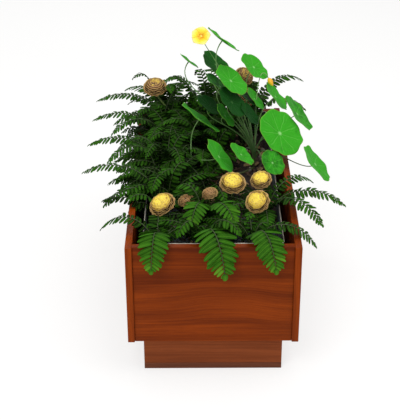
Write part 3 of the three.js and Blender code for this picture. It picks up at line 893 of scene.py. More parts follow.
def fronds_of(node):
    """A fern's crown, and (terms, half width) for each frond, where the terms are a cubic in t.

    The share of the frond's lean that a ridge point has reached is
    3 (1-t)^2 t 0.12 + 3 (1-t) t^2 0.72 + t^3, which gives its t, and the points fix the cubic.
    """
    points = node_points(node)
    crown = crown_of(points)
    middle, away = ridge_middles(points, crown)
    reach = np.linalg.norm(away, axis=1)
    heading = np.arctan2(away[:, 1], away[:, 0])
    order = np.argsort(heading)
    groups = np.split(order, np.nonzero(np.diff(heading[order]) > HEADING_GAP)[0] + 1)
    even = np.linspace(0, 1, 401)
    lean = 3 * (1 - even) ** 2 * even * 0.12 + 3 * (1 - even) * even**2 * 0.72 + even**3
    found = []
    for group in groups:
        if len(group) < 4:
            continue
        group = group[np.argsort(reach[group])]
        t = np.interp((reach[group] - FROND_FOOT) / (reach[group[-1]] - FROND_FOOT), lean, even)
        on_step = np.abs(t * FROND_STEPS - np.round(t * FROND_STEPS)) < 0.02
        group, t = group[on_step], np.round(t[on_step] * FROND_STEPS) / FROND_STEPS
        if len(set(t)) < 4:
            continue
        run = middle[group]
        terms = np.polyfit(t, run, 3)
        fitted = np.stack([np.polyval(terms[:, k], t) for k in range(3)], -1)
        if np.abs(fitted - run).max() < 0.3 * MM:
            straight = unit(away[group[-1]][None])[0]
            found.append((terms, blade_half_width(points, run, t, straight)))
    if len(found) < 2:
        raise RuntimeError(node + ": fewer than two fronds were read from its solid")
    return crown, found


def revolved_frame(node):
    """Centre, normal and radius of a leaf or funnel turned about its own axis. The axis is the
    direction in which its points spread least, and the dish opens towards the normal."""
    points = node_points(node)
    centre = points.mean(axis=0)
    normal = np.linalg.svd(points - centre)[2][2]
    off = points - centre
    height = off @ normal
    away = np.linalg.norm(off - height[:, None] * normal, axis=1)
    radius = away.max()
    inner = away < 0.3 * radius
    if height[inner].mean() > height[~inner].mean():
        normal, height = -normal, -height
    return centre + normal * height[inner].mean(), normal, radius


def head_frame(node):
    """Centre, normal and radius of a flower head, from the largest flat patch that looks up."""
    mesh = frame["nodes"][node].data
    flat = np.empty(3 * len(mesh.vertices), np.float32)
    mesh.vertices.foreach_get("co", flat)
    index = np.empty(3 * len(mesh.polygons), np.int32)
    mesh.loops.foreach_get("vertex_index", index)
    corner = flat.astype(float).reshape(-1, 3)[index.reshape(-1, 3)]
    cross = np.cross(corner[:, 1] - corner[:, 0], corner[:, 2] - corner[:, 0])
    area = np.linalg.norm(cross, axis=1)
    faces = cross / np.maximum(area, 1e-12)[:, None]
    same = (faces @ faces.T > 0.99999) & (faces[:, 2] > 0)[None]
    best = same[np.argmax((same * area).sum(axis=1) * (faces[:, 2] > 0))]
    cap = np.unique(np.round(corner[best].reshape(-1, 3), 6), axis=0)
    normal = unit((cross[best]).sum(axis=0)[None])[0]
    top = (cap.max(axis=0) + cap.min(axis=0)) / 2
    radius = np.linalg.norm(cap - cap.mean(axis=0), axis=1).max() / HEAD_CAP
    return top - normal * radius * HEAD_HEIGHT, normal, radius


def frame_of(normal):
    """Two directions that lie square to a normal, the first of them level."""
    side = unit(np.cross([0, 0, 1.0], normal)[None])[0]
    return side, np.cross(normal, side)


def soil_lift(look):
    """The soil's height above its level: a sum of crossed waves of different lengths."""

    def lift(x, y):
        mounds = np.sin(x * 61 + 1.3 * np.sin(y * 37)) * np.cos(y * 43 + 0.8) * 0.5
        clods = mounds + np.sin(x * 173 + y * 97) * 0.22 + np.sin(x * 311 - y * 263 + 2) * 0.16
        return (clods + np.cos(y * 401 + x * 89) * 0.12) * look.unevenness

    return lift


# ---- Operators -------------------------------------------------------------------------------


class Builder(bpy.types.Operator):
    """Makes one group of the trough's pieces."""

    bl_options = {"REGISTER", "UNDO"}

    def execute(self, context):
        self.build(context.scene)
        return {"FINISHED"}


def dress(name, material):
    """Gives a CAD node that keeps its shape a finish of its own."""
    node = frame["nodes"][name]
    node.data.materials.clear()
    node.data.materials.append(material)


def make_board(node, finish, slot, edge):
    """A board in the place of a CAD node: along X at an end of the box, and along Y at a side."""
    skin = Skin()
    board(skin, *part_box(node), along=0 if node.endswith(("front", "back")) else 1, edge=edge)
    skin.stand_in(node, [finish], slot, sharp=40)


class TROUGH_OT_boards(Builder):
    """Makes the side boards and the end panels of the box."""

    bl_idname = "trough.boards"
    bl_label = "Boards"

    def build(self, scene):
        look = scene.trough_timber
        colours = (look.pale, look.deep, look.dark)
        finishes = {
            "side_board_left": timber("teak side left", "y", *colours, shift=1.7, capped=True),
            "side_board_right": timber("teak side right", "y", *colours, shift=5.2, capped=True),
            "end_panel_front": timber("teak front", "x", *colours, crest=look.crest / MM, shift=0.4),
            "end_panel_back": timber("teak back", "x", *colours, crest=-look.crest / MM, shift=6.1),
        }
        for node, finish in finishes.items():
            make_board(node, finish, "teak_board", look.edge)


class TROUGH_OT_plinth(Builder):
    """Makes the plinth's rails and dresses the strip that it stands on."""

    bl_idname = "trough.plinth"
    bl_label = "Plinth"

    def build(self, scene):
        look = scene.trough_timber
        colours = (look.plinth_pale, look.plinth_deep, look.foot_deep)
        for place, along, shift in (
            ("front", "x", 0.9), ("back", "x", 3.3), ("left", "y", 4.8), ("right", "y", 7.4)
        ):
            finish = timber("teak plinth " + place, along, *colours, shift=shift)
            make_board("plinth_rail_" + place, finish, "teak_plinth", look.edge * 0.7)
        colours = (look.foot_pale, look.foot_deep, tone(48, 26, 20))
        dress("foot_frame", timber("teak foot", "x", *colours, shift=2.6, polish=0.55))


class TROUGH_OT_carcase(Builder):
    """Dresses the hidden timber and the screws of the box."""

    bl_idname = "trough.carcase"
    bl_label = "Carcase"

    def build(self, scene):
        look = scene.trough_timber
        upright = raw_timber("raw timber upright", "z", look)
        dress("base_board", raw_timber("raw timber flat", "flat", look))
        dress("plinth_cross_rail", raw_timber("raw timber across", "x", look))
        steel = steel_finish()
        for end in ("front", "back"):
            for side in ("left", "right"):
                dress(f"corner_batten_{end}_{side}", upright)
                dress(f"plinth_block_{end}_{side}", upright)
                dress(f"base_screw_{end}_{side}", steel)


class TROUGH_OT_liner(Builder):
    """Makes the folded liner with its beaded rim."""

    bl_idname = "trough.liner"
    bl_label = "Liner"

    def build(self, scene):
        look = scene.trough_liner
        low, high = corners_of("liner")
        fill_low, fill_high = corners_of("gravel_layer")
        middle = (low + high) / 2
        inner = (fill_high[:2] - fill_low[:2]) / 2 + FILL_CLEARANCE
        radius = ((high[0] - low[0]) / 2 - inner[0]) / 2  # of the bead

        def ring(out, height):
            """The liner's inner outline, set out by a distance, at a height."""
            edge = outline(inner[0] + out, inner[1] + out, look.corner + out)
            return np.column_stack([edge + middle[:2], np.full(len(edge), height)])

        def shrunk(edge, share, height):
            """A ring drawn in towards the liner's middle, at a height."""
            drawn = middle[:2] + (edge[:, :2] - middle[:2]) * share
            return np.column_stack([drawn, np.full(len(edge), height)])

        floor = low[2] + LINER_SHEET
        neck = high[2] - 2 * radius
        turn = [a for a in np.linspace(-np.pi * 0.62, np.pi * 1.5, 13) if a < np.pi]
        bead = [(radius + radius * math.cos(a), high[2] - radius + radius * math.sin(a)) for a in turn]
        outside = [(LINER_SHEET, low[2] + 3 * MM), (LINER_SHEET, neck - 2 * MM)]
        rings = [ring(*spot) for spot in (*outside, *bead, (0, neck), (0, floor + 2 * MM))]
        under = [shrunk(rings[0], share, low[2]) for share in (0.0, 0.5, 0.97)]
        inside = [shrunk(rings[-1], share, floor) for share in (0.98, 0.5, 0.0)]
        skin = Skin()
        skin.grids(np.stack(under + rings + inside, 1)[None], round_u=True)
        skin.make("liner-tray", [zinc_finish(look)], body_name("liner"), "liner_zinc", ["liner"], sharp=50)


class TROUGH_OT_filling(Builder):
    """Makes the gravel, the filter mat and the soil that fill the liner."""

    bl_idname = "trough.filling"
    bl_label = "Filling"

    def build(self, scene):
        corner = scene.trough_liner.corner - FILL_CLEARANCE
        look = scene.trough_soil

        def flat(x, y):
            return 0 * x

        for node, name, slot, finish, lift, rings in (
            ("gravel_layer", "gravel-bed", "gravel", gravel_finish(), flat, 6),
            ("filter_mat", "filter-fleece", "filter_fleece", fleece_finish(), flat, 6),
            ("soil", "soil-bed", "potting_soil", soil_finish(look), soil_lift(look), 70),
        ):
            skin = Skin()
            slab(skin, *corners_of(node), corner, lift, rings)
            skin.make(name, [finish], body_name(node), slot, [node], sharp=50)


class TROUGH_OT_mulch(Builder):
    """Scatters pebbles, bark, slate and dry leaf scraps over the soil."""

    bl_idname = "trough.mulch"
    bl_label = "Mulch"

    def build(self, scene):
        look = scene.trough_soil
        rng = np.random.default_rng(look.seed)
        low, high = corners_of("soil")
        lift = soil_lift(look)
        stones, scraps = Skin(), Skin()

        def scatter(number, front=None):
            """Points on the soil: all over it, or within a distance of its front end."""
            spot = rng.uniform(low[:2] + 12 * MM, high[:2] - 12 * MM, (number, 2))
            if front is not None:
                spot[:, 1] = low[1] + 14 * MM + rng.beta(1.1, 2.2, number) * front
            return np.column_stack([spot, high[2] + lift(spot[:, 0], spot[:, 1])])

        def turns(number, tilt):
            """Turning matrices of any heading, with a little tilt and roll."""
            heading = rng.uniform(0, 6.28, number)
            return turns_of(heading, rng.normal(0, tilt, number), rng.normal(0, tilt, number))

        def toss(sizes, raised, tilt, boxy, dents, front=None, finish=0):
            """Lays stones or chips of the given half sizes on the soil."""
            number = len(sizes)
            balls(
                stones, scatter(number, front) + [0, 0, raised * MM], sizes, turns(number, tilt),
                rng.uniform(*boxy, number), dents, rng, rng.uniform(0, 1, number), finish=finish,
            )

        pebbles, chips = look.pebbles, look.chips // 2
        width = rng.uniform(2.5, 6.5, pebbles)[:, None]
        toss(width * rng.uniform(0.65, 1.0, (pebbles, 3)) * MM, 1.5, 0.3, (0.8, 1.0), 0.05)
        slate = rng.uniform([6, 4, 1.0], [15, 9, 2.2], (chips, 3)) * MM
        toss(slate, 2, 0.22, (0.3, 0.5), 0.06, front=0.28, finish=1)
        bark = rng.uniform([6, 3, 1.2], [17, 7, 3], (chips, 3)) * MM
        toss(bark, 2, 0.25, (0.4, 0.6), 0.1, finish=2)
        finishes = [
            chip_finish("pebble", tone(96, 90, 84), tone(176, 164, 148), 0.25),
            chip_finish("slate chip", tone(54, 64, 70), look.slate, 0.2),
            chip_finish("bark chip", tone(46, 31, 24), tone(96, 66, 46), 0.35),
        ]
        stones.make("stones-and-bark", finishes, "planted_liner", "potting_soil")

        number = look.scraps
        along, across, face = turns(number, 0.3).transpose(2, 0, 1)
        length = rng.uniform(12, 30, number) * MM
        curl = rng.uniform(-0.1, 0.25, number)[:, None]
        blades(
            scraps, scatter(number) + [0, 0, 3.4 * MM], along, across, face,
            length, length * rng.uniform(0.16, 0.3, number), across * curl,
            rng.uniform(0, 1, number), bow=-0.12, crease=0.4,
        )
        for _ in range(TWIGS):
            a = rng.uniform(0, 6.28)
            start = scatter(1)[0] + [0, 0, 4 * MM]
            reach = np.array([math.cos(a), math.sin(a), 0]) * rng.uniform(25, 60) * MM
            end = np.clip(start + reach, [*(low[:2] + 8 * MM), 0], [*(high[:2] - 8 * MM), 1])
            lifted = (start + end) / 2 + [0, 0, rng.uniform(1, 5) * MM]
            path = bend([start, lifted, lifted, end], np.linspace(0, 1, 9))
            scraps.tube(path, 0.8 * MM, [0.1, 0.2, 1.0], sides=5, tint=rng.uniform(0.4, 1))
        dry = chip_finish("dry leaf", tone(70, 46, 30), tone(176, 144, 98), 0.3)
        scraps.make("dry-scraps", [dry], "planted_liner", "potting_soil", wall=0.4 * MM)


class TROUGH_OT_ferns(Builder):
    """Grows the sword ferns: a leafy frond along each CAD blade, and short ones between them."""

    bl_idname = "trough.ferns"
    bl_label = "Sword ferns"

    def frond(self, skin, path, half_width, spacing, vigour_and_light):
        """A frond along a path: a midrib and two rows of leaflets.

        A leaflet at share t of the frond is half_width * (1 - t^5)^0.6 long, less near the foot,
        and leaves the midrib at 88 degrees low down and 58 degrees near the tip. Leaflets that
        would run into a flower head are left out.
        """
        rng = self.rng
        run = np.concatenate([[0], np.cumsum(np.linalg.norm(np.diff(path, axis=0), axis=1))])
        total = run[-1]
        bare = min(0.3, BARE_STIPE / total)
        number = max(4, int(total * (1 - bare) / spacing))
        pairs = bare + (0.985 - bare) * (1 - (1 - (np.arange(number) + 0.5) / number) ** 1.12)
        side = np.tile([1.0, -1.0], number)
        t = np.clip(np.repeat(pairs, 2) + side * 0.22 * spacing / total, 0, 0.99)

        def at_t(rows):
            return np.stack([np.interp(t * total, run, rows[:, k]) for k in range(3)], -1)

        tangents = unit(np.gradient(path, axis=0))
        level = unit(np.array([[path[-1, 1] - path[0, 1], path[0, 0] - path[-1, 0], 0.0]]))[0]
        at, along = at_t(path), unit(at_t(tangents))
        face = unit(np.cross(level, along))
        long_ = half_width * np.minimum(1, (t / 0.34) ** 0.8) * np.maximum((1 - t**5) ** 0.6, 0.16)
        long_ = long_ * rng.uniform(0.9, 1.06, len(t))
        angle = np.radians(88 - 30 * t**3 + rng.normal(0, 3.5, len(t)))[:, None]
        out = np.cos(angle) * along + np.sin(angle) * side[:, None] * level
        out = unit(out + face * rng.normal(0.02, 0.07, (len(t), 1)) + [0, 0, -0.14])
        twist = rng.normal(0.0, 0.16, (len(t), 1))
        across = unit(np.cross(unit(face + twist * along), out))
        # A low starting tint darkens a whole frond: older leaflets, and painted shade deep in the plants.
        tint = vigour_and_light + 0.42 * t**2.5 + rng.normal(0, 0.07, len(t))
        fine = half_width > FINE_FROND
        least = 3.2 * MM * min(1, half_width / FINE_FROND)
        wide = np.maximum(self.look.leaflet_width * long_, least)
        wide = np.minimum(wide * 1.12, 6.4 * MM) if fine else wide * 1.25
        clear = np.ones(len(t), bool)
        for centre, _, radius in self.heads:
            for reach in (0, 0.5, 1):
                off = at + out * long_[:, None] * reach - centre
                clear &= np.linalg.norm(off, axis=1) > radius * 1.02
        leaflets = (at, out, across, unit(np.cross(out, across)), long_, wide, along, tint)
        leaflets = (values[clear] for values in leaflets)
        blades(skin, *leaflets, steps=11 if fine else 6, scallop=0.04 if fine else 0)

        last = tangents[-1:]
        end_face = unit(np.cross(level, last))
        tip = np.array([half_width * 0.34])
        blades(
            skin, path[-1:] - last * tip * 0.2, last, unit(np.cross(end_face, last)), end_face,
            tip, tip * 0.42, last * 0, np.array([vigour_and_light + 0.34]), steps=9,
        )
        thick = np.interp(np.linspace(0, 1, len(path)), [0, 0.3, 1], [1.5, 1.1, 0.5]) * MM
        thick = thick * (0.6 + half_width / (70 * MM))
        skin.tube(path[::4], thick[::4], np.append(level[:2], 0.0), sides=6, finish=1)

    def sprig(self, skin, start, tip, arch, half_width, vigour_and_light):
        """A short frond that rises from its start, arches over and drops a little to its tip."""
        high = max(start[2], tip[2]) + arch
        lean = (tip - start) * [1, 1, 0]
        control = [start, [*(start + 0.12 * lean)[:2], high], [*(start + 0.72 * lean)[:2], high], tip]
        path = bend(control, np.linspace(0, 1, PATH_POINTS))
        self.frond(skin, path, half_width, self.look.leaflet_gap * 0.85, vigour_and_light)

    def fill(self, skin, crown):
        """Short fronds all round a crown, whose tips stay above the trough or close beside it.

        Those of the plants at the front end stay lower, clear of the flowers.
        """
        rng, number = self.rng, self.look.fill
        front = corners_of("liner")[0][1]
        near = crown[1] < -0.1
        for k in range(number):
            a = 2 * np.pi * (k + rng.uniform(-0.3, 0.3)) / number
            tip = crown + np.array([math.cos(a), math.sin(a), 0]) * rng.uniform(70, 150) * MM
            tip[0] = np.clip(tip[0], -0.235 if crown[0] < -0.02 and not near else -0.13, 0.13)
            tip[1] = np.clip(tip[1], front + 70 * MM, 0.43)
            tip[2] = BOX_TOP + (rng.uniform(-14, 10) if near else rng.uniform(8, 62)) * MM
            start = crown + [0, 0, 8 * MM] + (tip - crown) * [0.05, 0.05, 0]
            arch = (rng.uniform(8, 22) if near else rng.uniform(18, 46)) * MM
            self.sprig(skin, start, tip, arch, rng.uniform(18, 27) * MM, rng.uniform(-0.05, 0.2))

    def thicket(self, skin, across, along, rise, reach, limits):
        """Short fronds, most of them leaning to the left, painted dark as the shade deep in the plants.

        They root between the limits of across and along in metres, and are reach mm long. Their tips
        stand rise mm above the boards, and stay between the limits across the trough.
        """
        rng = self.rng
        soil_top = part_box("soil")[1][2]
        for k in range(self.look.thicket):
            a = rng.normal(np.pi, 0.9) if k % 4 else rng.uniform(-1.5, 1.5)
            start = np.array([rng.uniform(*across), rng.uniform(*along), soil_top - 2 * MM])
            tip = start + np.array([math.cos(a), math.sin(a), 0]) * rng.uniform(*reach) * MM
            tip[0] = np.clip(tip[0], *limits)
            tip[1] = np.clip(tip[1], -0.2, 0.42)
            tip[2] = BOX_TOP + rng.uniform(*rise) * MM
            arch, half_width = rng.uniform(12, 40) * MM, rng.uniform(20, 28) * MM
            self.sprig(skin, start, tip, arch, half_width, rng.uniform(-0.15, 0.16))

    def build(self, scene):
        look = self.look = scene.trough_ferns
        self.rng = rng = np.random.default_rng(look.seed)
        self.heads = [head_frame(node) for node in nodes_named("flower_head_")]
        finishes = [fern_finish(look), rib_finish(look)]
        t = np.linspace(0, 1, PATH_POINTS)
        for node in nodes_named("fern_"):
            crown, fronds = fronds_of(node)
            skin = Skin()
            for terms, half_width in fronds:
                path = np.stack([np.polyval(terms[:, k], t) for k in range(3)], -1)
                large = half_width > 33 * MM
                gap = look.leaflet_gap * (1.0 if half_width > 45 * MM else 0.82 if large else 0.88)
                self.frond(skin, path, half_width, gap, 0.34 if large else 0.14)
            self.fill(skin, crown)
            place, size_ = (crown + [0, 0, 4 * MM])[None], np.array([[13, 13, 11]]) * MM
            balls(skin, place, size_, np.eye(3)[None], np.array([0.9]), 0.08, rng, 0.2, finish=1)
            skin.stand_in(node, finishes, "fern_frond", wall=0.5 * MM)
        for name, place in {
            "fern-thicket-left": ((-0.148, 0.0), (-0.17, 0.12), (-10, 40), (70, 150), (-0.262, 0.03)),
            "fern-thicket-far": ((-0.148, 0.02), (0.08, 0.36), (-5, 60), (70, 150), (-0.262, 0.06)),
            "fern-thicket-outer": ((-0.15, -0.125), (-0.2, 0.34), (-18, 22), (85, 130), (-0.262, -0.2)),
            "fern-thicket-back": ((-0.14, 0.12), (0.16, 0.36), (35, 140), (50, 130), (-0.22, 0.18)),
        }.items():
            skin = Skin()
            self.thicket(skin, *place)
            skin.make(name, finishes, "planted_liner", "fern_frond", wall=0.5 * MM)


def stalk_control(root, end, normal):
    """The control points of a stalk that climbs from its root and meets a leaf square on."""
    length = np.linalg.norm(end - root)
    return [root, root + [0, 0, STALK_CLIMB + 0.25 * length], end - normal * 0.3 * length, end]


class TROUGH_OT_nasturtium(Builder):
    """Makes the nasturtium: shield leaves, their stalks, the creeping stem and a yellow flower."""

    bl_idname = "trough.nasturtium"
    bl_label = "Nasturtium"

    def leaf(self, skin, centre, normal, radius, tint):
        """A round leaf on a grid of distance r and angle a.

        The edge lies at radius * (1 + small cosines of 9a, 4a, 13a and 2a); the face rises by
        0.1 r^2 like a dish, waves by sin(5a) r^4 at the edge, and sinks a little along each vein.
        """
        look = self.look
        side, up = frame_of(normal)
        r = np.linspace(0, 1, 17)[:, None]
        a = np.linspace(0, 2 * np.pi, 108, endpoint=False)[None]
        p = self.rng.uniform(0, 6.28, 4)
        edge = 1 + 0.022 * np.cos(look.veins * a) + 0.022 * np.cos(4 * a + p[0])
        edge = edge + 0.008 * np.cos(13 * a + p[1]) - 0.012 * np.cos(2 * a + p[2])
        away = radius * r * (1 + (edge - 1) * r)
        vein = np.abs(np.cos(look.veins * a / 2)) ** 14
        waves = look.wave * r**4 * np.sin(5 * a + p[3])
        frills = 0.35 * look.wave * r**6 * np.sin(9 * a + p[1])
        groove = radius * 0.012 * vein * np.sin(np.pi * np.minimum(1, r * 1.1)) ** 0.5
        rise = radius * (0.1 * r**2 + waves + frills) - groove
        flat = np.stack([away * np.cos(a), away * np.sin(a)], -1)
        points = centre + flat[..., :1] * side + flat[..., 1:] * up + rise[..., None] * normal
        disc = r[..., None] * np.stack([np.cos(a), np.sin(a)], -1)
        skin.grids(points[None], round_v=True, tint=tint, corners=(disc + 1) / 2)

    def stalk(self, root, centre, normal, thick):
        """The stalk of a leaf or flower, a little thicker at both its ends."""
        end = centre - normal * 0.6 * MM
        steps = np.linspace(0, 1, 30)
        swell = np.interp(steps, [0, 0.06, 0.9, 1], [1.25, 1, 0.72, 1.05])
        level = unit(np.array([[end[1] - root[1], root[0] - end[0], 0.02]]))[0]
        self.rods.tube(bend(stalk_control(root, end, normal), steps), thick * swell, level, sides=8)

    def runner(self, low, level):
        """The creeping stem: a rod through the lowest CAD points from root to root, with knots."""
        x = np.linspace(self.roots[1][0], self.roots[0][0], 40)
        way = np.polyval(np.polyfit(low[:, 0], low[:, 1], 3), x)
        knots = 1 + 0.25 * np.maximum(0, np.sin(np.linspace(0, 9 * np.pi, 40))) ** 6
        path = np.column_stack([x, way, level + 1.5 * MM * np.sin(x * 60)])
        self.rods.tube(path, 3.2 * MM * knots, [0, 0, 1.0], sides=10)

    def root_of(self, stems, centre, normal):
        """The root whose stalk runs closest to the CAD stalks."""

        def miss(root):
            mid = bend(stalk_control(root, centre - normal * 1.1 * MM, normal), [0.35, 0.5, 0.65])
            return np.linalg.norm(stems[None] - mid[:, None], axis=-1).min(axis=1).sum()

        return min(self.roots, key=miss)

    def old_leaves(self, stems):
        """A leaf on each CAD leaf."""
        for node in nodes_named("nasturtium_leaf_"):
            centre, normal, radius = revolved_frame(node)
            skin = Skin()
            # Painted shade: the leaf under the crest and the one in the nook get a lower tint, which paints
            # them darker.
            shade = 0.15 if node.endswith("shade") else 0.7 if node.endswith("nook") else 1
            tint = self.rng.uniform(0.5, 0.85) * shade
            self.leaf(skin, centre + normal * 0.3 * MM, normal, radius * 0.985, tint)
            skin.stand_in(node, [self.blade], "nasturtium_leaf", wall=self.look.sheet)
            self.stalk(self.root_of(stems, centre, normal), centre, normal, 1.7 * MM)

    def make_extra(self, skin, name):
        """A piece of leaves that no CAD node stands for."""
        skin.make(name, [self.blade], self.body, "nasturtium_leaf", wall=self.look.sheet)

    def young_leaves(self):
        """Two leaves that hang between pairs of the older ones, the second a little more level."""
        skin, radius = Skin(), self.look.young
        face = revolved_frame("nasturtium_leaf_inner")[1]
        for first, last, share_, level in (
            ("left_high", "back_low", 0.45, 0.0),
            ("inner", "broad", 0.35, 0.3),
        ):
            start, end = (revolved_frame("nasturtium_leaf_" + name)[0] for name in (first, last))
            centre = start + (end - start) * share_ - [0, radius, 0]
            normal = unit(face + [0, 0, level])
            self.leaf(skin, centre, normal, radius, 0.6)
            self.stalk(self.roots[0], centre, normal, 1.4 * MM)
        self.make_extra(skin, "nasturtium-leaves-young")

    def shaded_leaves(self):
        """Leaves under the crest leaf, each a golden angle round from the last, farther out and lower."""
        crest, crest_face, crest_radius = revolved_frame("nasturtium_leaf_crest")
        skin = Skin()
        for k in range(self.look.shaded):
            a = 0.75 * np.pi + GOLDEN_ANGLE * k
            away = crest_radius * (0.75 + 0.2 * math.sqrt(k))
            centre = crest + [away * math.cos(a), away * math.sin(a), -self.look.tier * (k + 2)]
            outward = 0.2 * np.array([math.cos(a), math.sin(a), 0])
            normal = unit(crest_face + [0.1, 0.15, 0] + outward)
            # Painted shade: each shaded leaf gets a lower tint than the one before, which paints it darker.
            self.leaf(skin, centre, normal, crest_radius * (1 - 0.08 * k), 0.36 / (k + 1) ** 2 - 0.06)
            self.stalk(self.roots[0], centre, normal, 1.5 * MM)
        self.make_extra(skin, "nasturtium-leaves-shaded")

    def bud(self, petal):
        """A bud between two leaves at the back: a narrow egg, pointed at its open end."""
        high, low = (revolved_frame("nasturtium_leaf_" + name)[0] for name in ("back_high", "right_back"))
        tip = (high + low) / 2 + [0.01, 0, 0.012]
        lean = unit(np.array([0.4, -0.5, -0.6]))
        skin = Skin()
        steps = np.linspace(0, 1, 24)
        swell = 7 * MM * np.sin(np.pi * steps**0.8) ** 0.8
        skin.tube(tip + steps[:, None] * 26 * MM * lean, swell, [1.0, 0, 0], sides=20)
        skin.make("nasturtium-bud", [petal], self.body, "nasturtium_petal")
        self.stalk(self.roots[0], tip, lean, 1.4 * MM)

    def flower(self, petal):
        """Five petals that are narrow at the throat and flare out, over a spur that curls down."""
        centre, normal, radius = revolved_frame("nasturtium_flower")
        side, up = frame_of(normal)
        skin = Skin()
        u = np.linspace(0, 1, 14)[:, None]
        v = np.linspace(-1, 1, 13)[None]
        for k in range(5):
            a = 2 * np.pi * k / 5 + 0.2
            out = math.cos(a) * side + math.sin(a) * up
            around = -math.sin(a) * side + math.cos(a) * up
            wide = np.where(u < 0.4, 0.1 + 0.5 * u, 0.3 + 0.32 * np.sin((u - 0.4) / 0.6 * np.pi * 0.93))
            width = wide * v * (1 - 0.12 * u**6)
            reach = u * (1 - 0.16 * v**2 * u)
            rise = 0.12 + 0.5 * u**0.8 - 0.22 * u**3 + 0.035 * np.sin(v * 7 + k) * u**3
            height = rise - 0.1 + 0.05 * v**2
            shape = reach[..., None] * out + width[..., None] * around + height[..., None] * normal
            skin.petal(centre + radius * shape, u, v, self.rng.uniform(0, 1))
        spur = [
            centre + normal * 3 * MM,
            centre - normal * 9 * MM,
            centre - normal * 17 * MM + up * 2 * MM,
            centre - normal * 22 * MM - up * 6 * MM,
        ]
        skin.tube(bend(spur, np.linspace(0, 1, 12)), np.linspace(4.4, 0.7, 12) * MM, side, sides=10)
        skin.stand_in("nasturtium_flower", [petal], "nasturtium_petal", wall=0.5 * MM)
        self.stalk(self.roots[0], centre, normal, 1.3 * MM)

    def build(self, scene):
        look = self.look = scene.trough_nasturtium
        self.rng = np.random.default_rng(look.seed)
        self.body = body_name("nasturtium_stems")
        self.rods = Skin()
        self.blade, stalk, petal = leaf_finish(look), stalk_finish(look), petal_finish(look)
        stems = node_points("nasturtium_stems")
        foot = stems[:, 2].min()
        low = stems[stems[:, 2] < foot + 8.2 * MM]
        right, left = low[:, 0].max() - 8 * MM, low[:, 0].min() + 8 * MM
        self.roots = [low[low[:, 0] > right].mean(axis=0), low[low[:, 0] < left].mean(axis=0)]
        self.runner(low, foot + 3.2 * MM)
        self.old_leaves(stems)
        self.young_leaves()
        self.shaded_leaves()
        self.bud(petal)
        self.flower(petal)
        self.rods.make("nasturtium-stalks", [stalk], self.body, "nasturtium_stem", ["nasturtium_stems"])


